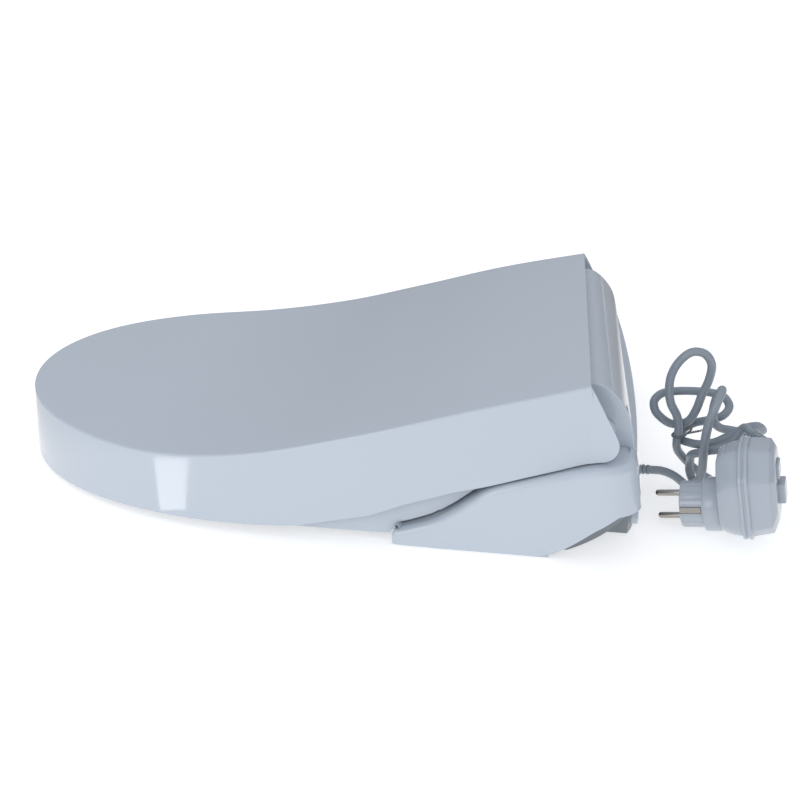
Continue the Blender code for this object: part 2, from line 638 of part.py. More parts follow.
def make_dryer(hub, grey, white):
    housing = build("fan_housing", rod(31, (-78, 185, 44), (-46, 185, 44), 32), grey)
    cut(housing, rod(28.5, (-75.5, 185, 44), (-48.5, 185, 44), 32), rod(17, (-50, 185, 44), (-40, 185, 44), 24))
    fan = build("fan_impeller", turned([(0, 0), (7, 0), (7, 22), (0, 22)], across(-74, 185, 44), 20), white, hub)
    for k in range(8):
        turn = Matrix.Translation(Vector((0, 185, 44)) * MM) @ Matrix.Rotation(math.radians(45 * k), 4, "X")
        fuse(fan, moved(box((-72, -54), (5, 25), (-0.7, 0.7)), turn))
    duct = build("dryer_duct", box((-74, -50), (131, 155.5), (14, 32)), grey)
    cut(duct, box((-72, -52), (120, 170), (16, 30)))


def make_controls(hubs, white, grey, rubber):
    build("filter_cartridge", box((-190.2, -151), (150.6, 179.4), (8.6, 29.4)), grey, hubs["filter"])
    for name, y, z in (("power_button", 200, 45), ("stop_button", 222, 53)):
        build(name, rod(6, (-192, y, z), (-184, y, z), 24), white, hubs[name])
    build("release_button", box((-192.5, -184), (186, 202), (12, 20)), white, hubs["release"])
    plate = build("mounting_plate", box((-128, 128), (154, 225), (0, 6)), grey, hubs["plate"])
    for side in (-1, 1):
        slot = [(a * MM, b * MM) for a, b in rounded(4.5, 20, 4.5, 4, (side * 77.5, 190))]
        cut(plate, prism("Z", slot, -2 * MM, 8 * MM))
    feet = {
        "foot_front_left": ((184.6, 187.3), (130, 200), (0, 4)),
        "foot_front_right": ((-187.3, -184.6), (130, 148), (0, 4)),
        "foot_rear_left": ((100, 128), (238, 248), (0, 1.7)),
        "foot_rear_right": ((-128, -100), (238, 248), (0, 1.7)),
    }
    for name, block in feet.items():
        build(name, box(*block), rubber)


def plug_matrix():
    turn = Matrix.Rotation(PLUG_YAW, 4, "Z") @ Matrix.Rotation(math.pi / 2 + PLUG_PITCH, 4, "X")
    return Matrix.Translation(PLUG_FACE) @ turn


def plug_shell(sections, matrix):
    """A housing across the plug that tapers along it, from (depth, half width, top, bottom) in millimetres."""
    rings = []
    for depth, half, top, bottom in sections:
        shoulder = top - 18
        right = [(half, bottom + 10), (half, shoulder), (13, top)]
        outline = right + [(-x, y) for x, y in right[::-1]] + [(10 - half, bottom), (half - 10, bottom)]
        rings.append([(x * MM, y * MM, depth * MM) for x, y in outline])
    return moved(loft(rings), matrix)


def make_plug(hubs, white, steel, grey):
    at = plug_matrix()
    profile = [(0, -29), (20.5, -29), (20.5, -17), (17.6, -17), (17.6, 0), (0, 0)]
    front = build("plug_front", turned(profile, at, 32), white)
    for side, name in ((1, "earth_clip_left"), (-1, "earth_clip_right")):
        cut(front, moved(box(sorted((side * 16, side * 19)), (0.2, 5.8), (-16, 1)), at))
        clip = moved(box(sorted((side * 16.3, side * 17.3)), (0.8, 5.2), (-15.6, -0.4)), at)
        build(name, clip, steel)
    build("plug_body", plug_shell([(-44.6, 30, 47.5, -17.5), (-29.3, 25, 42, -15.5)], at), white)
    build("plug_seam_ring", plug_shell([(-51.7, 31.5, 50.5, -19.5), (-45, 31.5, 50.5, -19.5)], at), white)
    block = [(-69.5, 20, 41, -8), (-66, 27, 47.5, -15), (-52, 29.5, 48.5, -17)]
    rear = build("plug_rear_block", plug_shell(block, at), white)
    cut(rear, moved(rod(5.4, (0, 0, -3), (0, 0, 12), 20), gland_frame()))
    for name, y in (("plug_pin_upper", 9.5), ("plug_pin_lower", -9.5)):
        pin = [(0, 0.3), (2.4, 0.3), (2.4, 17.5), (1.2, 19.3), (0, 19.3)]
        build(name, turned(pin, at @ Matrix.Translation((0, y * MM, 0)), 16), steel)
    for name, low, high, face in (("rcd_test_button", 23, 34, -71.5), ("rcd_reset_button", 4, 19, -74.5)):
        cut(rear, moved(box((-8.4, 8.4), (low - 0.4, high + 0.4), (-80, -66.6)), at))
        build(name, moved(box((-8, 8), (low, high), (face, -68.5)), at), grey, hubs[name])


def gland_frame():
    """Local +Z runs out of the plug along its cord gland, from the block's surface."""
    axis = PLUG_GLAND_AXIS.normalized()
    turn = axis.to_track_quat("Z", "Y").to_matrix().to_4x4()
    return plug_matrix() @ Matrix.Translation(PLUG_GLAND) @ turn


def tie_band(steps=24):
    """A flat band stretched round the two strands."""
    first, second = TIE_STRANDS
    section = [(7, -0.8), (7, 0.8), (6.1, 0.8), (6.1, -0.8)]
    rings = []
    for k in range(steps):
        angle = 2 * math.pi * (k + 0.5) / steps
        out = Vector((math.cos(angle), math.sin(angle)))
        strand = first if out.dot(first - second) > 0 else second
        rings.append([(*((strand + out * reach) * MM), (TIE_HEIGHT + z) * MM) for reach, z in section])
    return loft(rings, closed=True)


def make_lead(white, grey, cord_finish):
    backward = Matrix.Translation(Vector((75, 254.8, 20.5)) * MM) @ Matrix.Rotation(-math.pi / 2, 4, "X")
    build("cord_gland", turned([(0, 0), (4.9, 0), (4.7, 9), (3.8, 23), (0, 23)], backward, 20), grey)
    sleeve = [(0, -2.4), (5, -2.4), (5, 4), (3.8, GLAND_LENGTH / MM), (0, GLAND_LENGTH / MM)]
    build("plug_cord_gland", turned(sleeve, gland_frame(), 20), grey)
    tip = gland_frame() @ Vector((0, 0, GLAND_LENGTH))
    heading = plug_matrix().to_3x3() @ PLUG_GLAND_AXIS.normalized()
    approach = [tuple((tip + heading * run * MM) / MM) for run in (11, 0.4)]
    hose("power_cord", CORD_DIAMETER / 2, CORD_ROUTE + approach, cord_finish, CORD_SPACING)
    build("cable_tie", tie_band(), white)


def main():
    clear_scene()
    white = material("white_gloss_plastic", (0.72, 0.75, 0.78), 0.18)
    shade = material("inner_white_plastic", (0.55, 0.58, 0.62), 0.4)
    grey = material("grey_plastic", (0.33, 0.36, 0.4), 0.45)
    rubber = material("bumper_rubber", (0.5, 0.52, 0.55), 0.7)
    cord_finish = material("cord_sheath", (0.3, 0.34, 0.38), 0.5)
    steel = material("plated_steel", (0.5, 0.5, 0.5), 0.25, 1.0)
    foil = material("heater_foil", (0.7, 0.7, 0.72), 0.35, 1.0)
    green = material("circuit_board", (0.05, 0.22, 0.1), 0.5)

    seat_hub = empty("seat_axis", HINGE)
    lid_hub = empty("lid_axis", HINGE)
    nozzle_hub = empty("nozzle_axis", nozzle_frame(0).translation)
    shutter_hub = empty("shutter_axis", SHUTTER_HINGE)
    fan_hub = empty("fan_axis", Vector((-63, 185, 44)) * MM)
    at = plug_matrix()
    hubs = {
        "filter": empty("filter_axis", Vector((-190, 165, 19)) * MM),
        "power_button": empty("power_button_axis", Vector((-192, 200, 45)) * MM),
        "stop_button": empty("stop_button_axis", Vector((-192, 222, 53)) * MM),
        "release": empty("release_axis", Vector((-192, 194, 16)) * MM),
        "drain": empty("drain_axis", Vector((134.5, 260, 10)) * MM),
        "plate": empty("plate_axis", Vector((0, 190, 0)) * MM),
        "rcd_test_button": empty("rcd_test_axis", at @ (Vector((0, 28.5, -70)) * MM)),
        "rcd_reset_button": empty("rcd_reset_axis", at @ (Vector((0, 11.5, -70)) * MM)),
    }

    make_lid(lid_hub, white, rubber)
    make_seat(seat_hub, white, shade, rubber, foil)
    make_cases(hubs["drain"], white, grey)
    make_hinge(steel, grey)
    make_nozzle(nozzle_hub, shutter_hub, white, steel, grey)
    make_water_path(white, grey, steel, rubber)
    make_boards(green)
    make_dryer(fan_hub, grey, white)
    make_controls(hubs, white, grey, rubber)
    make_plug(hubs, white, steel, grey)
    make_lead(white, grey, cord_finish)


main()
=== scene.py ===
"""Looks of the electric bidet seat: glossy shells, seat ring, hinge cover, mains lead and plug."""

import json
import math

import bmesh
import bpy
from mathutils import Matrix, Vector


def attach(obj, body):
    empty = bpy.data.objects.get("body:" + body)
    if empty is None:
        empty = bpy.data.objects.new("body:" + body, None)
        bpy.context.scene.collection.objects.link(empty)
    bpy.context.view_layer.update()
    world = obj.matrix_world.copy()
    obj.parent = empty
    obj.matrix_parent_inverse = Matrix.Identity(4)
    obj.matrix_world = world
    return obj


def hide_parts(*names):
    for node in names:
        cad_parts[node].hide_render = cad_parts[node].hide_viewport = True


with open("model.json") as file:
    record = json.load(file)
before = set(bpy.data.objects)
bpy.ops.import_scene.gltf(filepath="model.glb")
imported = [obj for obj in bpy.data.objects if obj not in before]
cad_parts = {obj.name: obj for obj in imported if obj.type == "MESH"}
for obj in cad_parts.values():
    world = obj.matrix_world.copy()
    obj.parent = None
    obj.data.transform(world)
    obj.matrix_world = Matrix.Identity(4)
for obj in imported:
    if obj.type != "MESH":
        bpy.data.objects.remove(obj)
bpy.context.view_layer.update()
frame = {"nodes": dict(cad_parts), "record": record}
nodes = frame["nodes"]

MM = 0.001

# Camera, at the height and side from which the seat is seen
CAMERA_PLACE = Vector((0.8145, 0.1892, 0.3893))
CAMERA_AZIMUTH = math.radians(98.886)
CAMERA_ELEVATION = math.radians(23.222)
CAMERA_LENS = 44.86

# Lid, seat and unit, as in the CAD
LID_HALF_WIDTH = 190 * MM
LID_FRONT = -266 * MM
LID_REAR = 221 * MM
LID_REAR_HALF_WIDTH = 177.3 * MM
LID_WIDEST = 50 * MM
LID_WALL = 3 * MM
SKIRT_FLARE = 4 * MM
CHEEK_RADIUS = 11.7 * MM
CHEEK_SLANT = math.radians(61)
FRONT_ROUNDNESS = 2.63
SEAT_INSET = 6.5 * MM
SEAT_FRONT = -257 * MM
SEAT_REAR = 125 * MM
SEAT_BELOW_LID = 13 * MM
SEAT_WALL = 2.5 * MM
SEAT_WALL_SHARE = 0.04
SEAT_PLATE_INSET = 6 * MM
HOLE_CENTRE = -54 * MM
HOLE_HALF_WIDTH = 112 * MM
HOLE_HALF_LENGTH = 141 * MM
HOLE_ROUNDNESS = 2.3
SEAT_RIM_HEIGHT = 6.5 * MM
SEAT_ARCH_HEIGHT = 53 * MM
SEAT_ARCH_START = 20 * MM
SEAT_ARCH_RUN = 55 * MM
SEAT_ARCH_HALF_WIDTH = 142 * MM
SEAT_ARCH_SIDE = 22 * MM
WING_START = 83 * MM
WING_GAP = 2.2 * MM
SHOULDER_START = 119 * MM
SHOULDER_LENGTH = 43 * MM
SHOULDER_INNER = 160 * MM
SHOULDER_TOP = 80 * MM
ARM_INNER = 152 * MM
ARM_OUTER = 170.3 * MM
HINGE = Vector((0, 231.5 * MM, 88 * MM))
UNIT_HALF_WIDTH = 150 * MM
UNIT_WALL = 2.5 * MM
PANEL_OUTER = 190.5 * MM
PANEL_INNER = 150.3 * MM
PANEL_WALL = 3 * MM
PANEL_CORNER = 27 * MM
PANEL_FRONT_CORNER = 3 * MM
PANEL_FRONT = 85 * MM
PANEL_REAR = 231 * MM
LEDGE = 74.5 * MM
REAR_LEAN = 6 * MM
REAR_WALL_FOOT = 37 * MM
REAR_WALL_HEAD = 71 * MM
REAR_WALL_PLACE = 258.5 * MM

# Places and sizes in millimetres, as rods, tubes and boxes take them
HINGE_Y = HINGE.y / MM
HINGE_Z = HINGE.z / MM
HINGE_BORE = 4.4
CASE_SKIRT_CENTRE = Vector((123, 208))
CASE_SKIRT_RADIUS = 55
RIB_SINK = 2.8
LID_CROSS_RIBS = ((-160, 120), (-70, 150), (20, 165), (110, 168), (165, 166))
BUTTONS = {"power": (200, 45), "stop": (222, 53)}
BUTTON_WINDOW = 6.4
LEAD_OUTLET = (75, 20.5)
WATER_INLET = (-120, 24)
DRAIN = (134.5, 10)
CASE_REAR = 254.8

# Heights along the object, as (y, z) pairs in millimetres
LID_TOP = [(-266, 61.5), (-184.8, 57.6), (-103.7, 56.6), (-22.5, 67.1), (58.7, 87.8), (139.8, 111.2),
           (221, 131.2)]
LID_BOTTOM = [(-270, 3), (-120, 7), (-50, 9), (10, 13), (40, 20), (70, 27.5), (97, 38.5), (115, 44.5),
              (130, 49.5), (146, 53.3), (163, 58), (177, 62.2), (204, 69.7), (217, 73.4), (231.5, 76.3)]
WING_TOP = [(85, 13), (100, 17.5), (115, 23.5), (130, 33), (142, 42.5), (153, 51), (163, 55.5), (177, 60),
            (204, 68), (217, 71.5), (232, 74.5), (270, 74.5)]
WING_BOTTOM = [(85, 2.5), (120, 2), (188, 2), (195, 2.8), (202, 5), (208, 8.2), (214, 12.2), (222, 18.4),
               (244, 37), (270, 37)]
TOP_CASE_PROFILE = [(128, 71.3), (128, 83), (134, 91), (150, 100), (175, 110.5), (200, 118), (222, 123),
                    (236, 118), (249, 103), (255, 84), (256.5, 71.3)]
TOP_CASE_ROOM = [(130.5, 60), (130.5, 82), (135.5, 89), (151, 97.5), (176, 107.8), (200.6, 115.4),
                 (221, 120.3), (234.4, 116.4), (246.8, 102), (252.6, 84), (254, 60)]

# Mains lead
CORD_DIAMETER = 6.8 * MM
CORD_ROUTE = [
    (75, 278.3, 20.5), (75, 287, 20.3), (76, 297, 17), (81, 308, 10.5), (87, 320, 6), (93, 334, 4),
    (99, 349, 3.8), (95, 363, 3.8), (81, 367, 3.8), (70, 358, 3.8), (65, 343, 4.2), (60, 330, 7),
    (58.5, 320.5, 12), (59, 312, 19), (60, 304, 27), (63.5, 298.5, 35.5), (67, 297, 45),
    (66, 297.5, 55), (65, 295, 65), (65, 289.5, 75), (64, 287, 86), (63, 287.5, 98.5),
    (63, 292.5, 110.5), (63, 301, 118.5), (62, 310.5, 117.5), (61, 317, 109), (60, 317, 96),
    (60, 313, 82), (60, 310, 69), (58.5, 305.5, 58.5), (57, 299, 54.5), (56, 292, 54),
    (55.5, 285.5, 57.5), (53, 279.5, 63), (50, 278, 70), (47, 283, 75.5), (45.5, 294, 78),
    (44, 311.5, 78.5), (42, 323.5, 77), (43, 333, 74.5), (49.5, 337, 69), (55.5, 332, 63.5),
    (55, 321, 58.5), (51, 311.5, 53.5), (50.5, 304, 47.5), (57.5, 301, 42), (66.5, 306.5, 43),
    (76, 314.5, 46.5), (78, 324.5, 50), (79, 332, 55), (80.5, 340, 61.5), (82, 347.5, 66.5),
    (80.5, 354, 67), (75, 359.5, 61.5), (68, 358.5, 58), (64, 348, 54), (64, 338, 55), (65, 329, 57),
    (69, 322.5, 65.5), (75.5, 321, 83.5), (80, 323, 93.5), (89, 322.5, 98.5), (97, 319.5, 94.5),
    (101, 316, 85), (100, 314, 74), (98, 313.5, 62.5), (95, 314, 50.5), (91.5, 315, 39), (87, 316, 28),
    (82.5, 315, 18.5), (74.5, 312, 14), (68, 309.5, 19), (68.5, 309, 28), (74.5, 308.5, 36),
    (81.5, 312.5, 41.5), (86, 319.5, 46), (90.5, 328, 50.5), (91.5, 334.5, 57),
]

# Tie round two neighbouring strands of the lead: their centres at its height, in millimetres
TIE_STRANDS = [Vector((66.6, 297.2)), Vector((50.9, 305.5))]
TIE_HEIGHT = 48.4
TIE_REACH = 4.4
TAIL_LENGTH = 13
TAIL_TWISTED = 11
TAIL_PITCH = 4.2

# Plug with its residual-current block: pins point along local +Z from the middle of its face, local +Y is up
PLUG_FACE = Vector((124, 298.8, 18)) * MM
PLUG_PITCH = math.radians(12.2)
PLUG_YAW = math.radians(-14)
PLUG_GLAND = Vector((-21.5, 39, -60)) * MM
PLUG_GLAND_AXIS = Vector((-0.78, 0.18, 0.6))
GLAND_LENGTH = 15 * MM
PIN_OFFSET = 9.5
PLUG_KEYS = (("test", 23, 34, -71.5), ("reset", 4, 19, -74.5))

# Nozzle: its axis runs forward and down through the front wall
NOZZLE_SLOPE = math.radians(24)
NOZZLE_EXIT = Vector((0, 128, 24)) * MM
NOZZLE_PARKED = 45 * MM
NOZZLE_RADIUS = 7
NOZZLE_JETS = ((0, -8), (-2.2, -11.5), (2.2, -11.5), (0, -15))

# Room light: base glow, and what is added along an axis up to a reach
WORLD_BASE = 0.14
WORLD_GLOW = (("Z", 0.7, 0.6), ("X", 1.0, 0.4), ("X", -1.0, 0.1))
WORLD_COLOUR = (0.93, 0.96, 1.02, 1)

# Softbox in front, to the +X side
SOFTBOX_PLACE = Vector((2.0, -0.9, 0.9))
SOFTBOX_TARGET = Vector((0.1, -0.1, 0.05))
SOFTBOX_SIZE = (0.8, 1.1)
SOFTBOX_POWER = 6

# Low softbox, seen only in reflections: (distance, half width) of its near and far ends, in millimetres
LOW_SOFTBOX_PLACE = Vector((0.1815, -0.082, 0.002))
LOW_SOFTBOX_ALONG = Vector((0.695, -0.719, 0))
LOW_SOFTBOX_ENDS = ((30, 11), (170, 27))
LOW_SOFTBOX_STRENGTH = 4.2

# Floor, and the dark card on it that is seen only in reflections: axis, and where it is dark and bright
FLOOR_HALF = 40.0
FLOOR_GLOW = 0.5
FLAG_HALF = 8.0
FLAG_HEIGHT = 0.5 * MM
FLAG_FADES = (("Y", -0.46, -0.26), ("X", -0.5, -0.22))
FLAG_DARKEST = 0.25

# Fineness and softness of the visible surfaces
LID_EDGE = 1.6 * MM
LID_COLUMNS = 24
EDGE_STEPS = 4
SKIRT_STEPS = 8
CHEEK_STEPS = 14
PANEL_EDGE = 5.5 * MM
PANEL_EDGE_STEPS = 7
SEAT_SIDES = 240


def linked(name, data):
    made = bpy.data.objects.new(name, data)
    bpy.context.scene.collection.objects.link(made)
    return made


def baked(obj):
    """A new mesh of the object as its modifiers leave it."""
    graph = bpy.context.evaluated_depsgraph_get()
    return bpy.data.meshes.new_from_object(obj.evaluated_get(graph))


def add_camera():
    data = bpy.data.cameras.new("camera")
    data.lens = CAMERA_LENS
    data.sensor_width = 36
    data.clip_start = 0.02
    data.clip_end = 20
    camera = linked("camera", data)
    back = Vector((
        math.sin(CAMERA_AZIMUTH) * math.cos(CAMERA_ELEVATION),
        -math.cos(CAMERA_AZIMUTH) * math.cos(CAMERA_ELEVATION),
        math.sin(CAMERA_ELEVATION),
    ))
    camera.location = CAMERA_PLACE
    camera.rotation_mode = "QUATERNION"
    camera.rotation_quaternion = (-back).to_track_quat("-Z", "Y")
    bpy.context.scene.camera = camera


def curve_point(p, t):
    """Centripetal Catmull-Rom point between p[1] and p[2]."""
    k = [0.0]
    for a, b in zip(p, p[1:]):
        k.append(k[-1] + math.sqrt((b - a).length))
    u = k[1] + (k[2] - k[1]) * t
    first = [p[i].lerp(p[i + 1], (u - k[i]) / (k[i + 1] - k[i])) for i in range(3)]
    second = [first[i].lerp(first[i + 1], (u - k[i]) / (k[i + 2] - k[i])) for i in range(2)]
    return second[0].lerp(second[1], (u - k[1]) / (k[2] - k[1]))


def smooth_route(route, steps=8):
    """Points of a smooth curve through a route in millimetres."""
    knots = [Vector(p) * MM for p in route]
    knots = [2 * knots[0] - knots[1]] + knots + [2 * knots[-1] - knots[-2]]
    points = []
    for i in range(1, len(knots) - 2):
        points += [curve_point(knots[i - 1:i + 3], k / steps) for k in range(steps)]
    return points + [knots[-2]]


# Shapes, as (points, faces) in world metres


def loft(rings, closed=False):
    """Skins rings of equal length. Closed joins the last ring to the first, else both ends are capped."""
    size = len(rings[0])
    points = [p for ring in rings for p in ring]
    faces = []
    spans = len(rings) if closed else len(rings) - 1
    for i in range(spans):
        a, b = i * size, (i + 1) % len(rings) * size
        faces += [(a + j, a + (j + 1) % size, b + (j + 1) % size, b + j) for j in range(size)]
    if not closed:
        faces += [tuple(range(size)), tuple(range(len(points) - size, len(points)))]
    return points, faces


def prism(axis, outline, low, high):
    """Extrudes an outline along an axis. The outline is (y, z) for X and (x, y) for Z."""
    if axis == "X":
        return loft([[(h, a, b) for a, b in outline] for h in (low, high)])
    return loft([[(a, b, h) for a, b in outline] for h in (low, high)])


def in_metres(outline):
    return [(a * MM, b * MM) for a, b in outline]


def box(x, y, z):
    """A block in millimetres from three (low, high) pairs."""
    corners = [(x[0], y[0]), (x[1], y[0]), (x[1], y[1]), (x[0], y[1])]
    return prism("Z", in_metres(corners), z[0] * MM, z[1] * MM)


def moved(shape, matrix):
    points, faces = shape
    return [matrix @ Vector(p) for p in points], faces


def polar(radius, angle, height):
    """A point in metres from a radius and a height in millimetres."""
    return radius * MM * math.cos(angle), radius * MM * math.sin(angle), height * MM


def turned(profile, matrix=Matrix(), sides=24):
    """Turns (radius, height) pairs in millimetres, from the axis back to the axis, about local Z."""
    rings = [[polar(r, 2 * math.pi * k / sides, h) for k in range(sides)] for r, h in profile[1:-1]]
    return moved(loft(rings), matrix)


def between(start, end):
    """Frame at a point whose local +Z runs to another, both in millimetres, and how far apart they are."""
    start, end = Vector(start), Vector(end)
    turn = (end - start).to_track_quat("Z", "Y").to_matrix().to_4x4()
    return Matrix.Translation(start * MM) @ turn, (end - start).length


def rod(radius, start, end, sides=20):
    """A plain cylinder between two points in millimetres."""
    matrix, length = between(start, end)
    return turned([(0, 0), (radius, 0), (radius, length), (0, length)], matrix, sides)


def tube(outer, inner, start, end, sides=24):
    """A cylinder with a through bore, between two points in millimetres."""
    matrix, length = between(start, end)
    section = [(outer, 0), (outer, length), (inner, length), (inner, 0)]
    rings = [[polar(r, 2 * math.pi * k / sides, h) for r, h in section] for k in range(sides)]
    return moved(loft(rings, closed=True), matrix)


def arc(centre, radius, start, end, steps):
    """Points on an arc, angles in degrees."""
    angles = [math.radians(start + (end - start) * k / steps) for k in range(steps + 1)]
    return [(centre[0] + radius * math.cos(a), centre[1] + radius * math.sin(a)) for a in angles]


def linear(table, y):
    """Height at y from straight lines between (y, z) pairs in millimetres."""
    y = y / MM
    for (y0, z0), (y1, z1) in zip(table, table[1:]):
        if y <= y1:
            return (z0 + (z1 - z0) * max(0.0, (y - y0) / (y1 - y0))) * MM
    return table[-1][1] * MM


def smooth(table, y):
    """Height at y from a Catmull-Rom curve through (y, z) pairs in millimetres."""
    y = min(max(y / MM, table[0][0]), table[-1][0])
    i = max(k for k in range(len(table) - 1) if table[k][0] <= y)
    rows = [table[max(0, min(len(table) - 1, i + k))] for k in (-1, 0, 1, 2)]
    (ya, za), (y0, z0), (y1, z1), (yb, zb) = rows
    t = (y - y0) / (y1 - y0)
    m0 = (z1 - za) / (y1 - ya) * (y1 - y0)
    m1 = (zb - z0) / (yb - y0) * (y1 - y0)
    height = (2 * t**3 - 3 * t**2 + 1) * z0 + (t**3 - 2 * t**2 + t) * m0
    height += (3 * t**2 - 2 * t**3) * z1 + (t**3 - t**2) * m1
    return height * MM


def half_width(y):
    """Half the lid's width at its top edge."""
    if y < LID_WIDEST:
        share = min(1.0, (LID_WIDEST - y) / (LID_WIDEST - LID_FRONT))
        return LID_HALF_WIDTH * math.sqrt(max(0.0, 1 - share**FRONT_ROUNDNESS))
    share = (y - LID_WIDEST) / (LID_REAR - LID_WIDEST)
    return LID_HALF_WIDTH + (LID_REAR_HALF_WIDTH - LID_HALF_WIDTH) * min(1.0, share) ** 2


def mirrored(shape, side):
    points, faces = shape
    return [(side * p[0], p[1], p[2]) for p in points], faces


def bowed(y_end, bow, thickness=None, half=UNIT_HALF_WIDTH, steps=12):
    """Plan of a strip bowed towards the wall, or of the whole area in front of it."""
    xs = [half * (2 * k / steps - 1) for k in range(steps + 1)]
    outer = [(x, y_end + bow * (1 - (x / half) ** 2)) for x in xs]
    if thickness is None:
        return outer + [(half, 250 * MM), (-half, 250 * MM)]
    return outer + [(x, y - thickness) for x, y in outer[::-1]]


def nozzle_frame(slide):
    """Local +Z points forward along the nozzle, and the origin is its tip when slid out by that much."""
    forward = Vector((0, -math.cos(NOZZLE_SLOPE), -math.sin(NOZZLE_SLOPE)))
    place = NOZZLE_EXIT + forward * (slide - NOZZLE_PARKED)
    return Matrix.Translation(place) @ Matrix.Rotation(math.pi / 2 + NOZZLE_SLOPE, 4, "X")


def at_hinge(x):
    """A point on the hinge line, in millimetres."""
    return x, HINGE_Y, HINGE_Z


def plug_matrix():
    turn = Matrix.Rotation(PLUG_YAW, 4, "Z") @ Matrix.Rotation(math.pi / 2 + PLUG_PITCH, 4, "X")
    return Matrix.Translation(PLUG_FACE) @ turn


def gland_frame():
    """Local +Z runs out of the plug along its cord gland, from the block's surface."""
    axis = PLUG_GLAND_AXIS.normalized()
    turn = axis.to_track_quat("Z", "Y").to_matrix().to_4x4()
    return plug_matrix() @ Matrix.Translation(PLUG_GLAND) @ turn


# Materials


def with_inputs(node, values):
    """The node, with the inputs named set to their values."""
    for name, value in values.items():
        node.inputs[name].default_value = value
    return node


def principled(name, colour, roughness, metallic=0.0, coat=0.0, specular=0.5):
    made = bpy.data.materials.new(name)
    made.use_nodes = True
    shader = with_inputs(made.node_tree.nodes["Principled BSDF"], {
        "Base Color": (*colour, 1), "Roughness": roughness, "Metallic": metallic, "Coat Weight": coat,
        "Coat Roughness": 0.04, "Specular IOR Level": specular,
    })
    return made, made.node_tree, shader


def object_place(tree):
    return tree.nodes.new("ShaderNodeTexCoord").outputs["Object"]


def noise(tree, scale, detail=3.0, rough=0.5):
    made = tree.nodes.new("ShaderNodeTexNoise")
    with_inputs(made, {"Scale": scale, "Detail": detail, "Roughness": rough})
    tree.links.new(object_place(tree), made.inputs["Vector"])
    return made.outputs["Fac"]


def ranged(tree, value, low, high, start=0.3, end=0.7):
    """Maps a value between start and end onto low to high."""
    made = tree.nodes.new("ShaderNodeMapRange")
    with_inputs(made, {"From Min": start, "From Max": end, "To Min": low, "To Max": high})
    tree.links.new(value, made.inputs["Value"])
    return made.outputs["Result"]


def tinted(tree, value, colour, spread):
    """A colour that drifts a little either way with value."""
    made = tree.nodes.new("ShaderNodeMix")
    made.data_type = "RGBA"
    darker = (*[c * (1 - spread) for c in colour], 1)
    lighter = (*[min(1, c * (1 + spread)) for c in colour], 1)
    with_inputs(made, {6: darker, 7: lighter})
    tree.links.new(value, made.inputs["Factor"])
    return made.outputs[2]


def bumped(tree, shader, *layers):
    """Stacks bumps of (height value, depth in metres) on the shader's normal."""
    below = None
    for value, depth in layers:
        bump = tree.nodes.new("ShaderNodeBump")
        bump.inputs["Strength"].default_value = 1.0
        bump.inputs["Distance"].default_value = depth
        tree.links.new(value, bump.inputs["Height"])
        if below:
            tree.links.new(below, bump.inputs["Normal"])
        below = bump.outputs["Normal"]
    tree.links.new(below, shader.inputs["Normal"])


def moulded(name, colour, rough, coat=0.0, texture=0.00002, texture_scale=900, spread=0.012):
    """Moulded plastic: slow drift of shade, patches of duller and brighter gloss, and a fine skin texture."""
    made, tree, shader = principled(name, colour, sum(rough) / 2, coat=coat)
    drift = noise(tree, 9, 2)
    tree.links.new(tinted(tree, drift, colour, spread), shader.inputs["Base Color"])
    patches = noise(tree, 34, 5, 0.6)
    tree.links.new(ranged(tree, patches, *rough), shader.inputs["Roughness"])
    bumped(tree, shader, (noise(tree, texture_scale, 2), texture), (noise(tree, 45, 1), 0.00003))
    return made


def brushed(name, colour, rough):
    """Plated or brushed metal with fine streaks."""
    made, tree, shader = principled(name, colour, rough, metallic=1.0)
    squeeze = with_inputs(tree.nodes.new("ShaderNodeMapping"), {"Scale": (60, 900, 60)})
    streaks = with_inputs(tree.nodes.new("ShaderNodeTexNoise"), {"Scale": 3, "Detail": 4})
    tree.links.new(object_place(tree), squeeze.inputs["Vector"])
    tree.links.new(squeeze.outputs["Vector"], streaks.inputs["Vector"])
    fac = streaks.outputs["Fac"]
    tree.links.new(ranged(tree, fac, rough * 0.7, rough * 1.4), shader.inputs["Roughness"])
    tree.links.new(tinted(tree, fac, colour, 0.06), shader.inputs["Base Color"])
    bumped(tree, shader, (fac, 0.00001))
    return made


def circuit_board():
    """Green laminate with copper tracks under the lacquer."""
    made, tree, shader = principled("circuit_board", (0.02, 0.16, 0.07), 0.35)
    tracks = with_inputs(tree.nodes.new("ShaderNodeTexBrick"), {
        "Scale": 110, "Mortar Size": 0.03, "Color1": (0.02, 0.15, 0.06, 1), "Color2": (0.03, 0.19, 0.09, 1),
        "Mortar": (0.12, 0.33, 0.12, 1),
    })
    tracks.offset = 0.5
    tree.links.new(object_place(tree), tracks.inputs["Vector"])
    tree.links.new(tracks.outputs["Color"], shader.inputs["Base Color"])
    bumped(tree, shader, (tracks.outputs["Fac"], 0.00005))
    return made


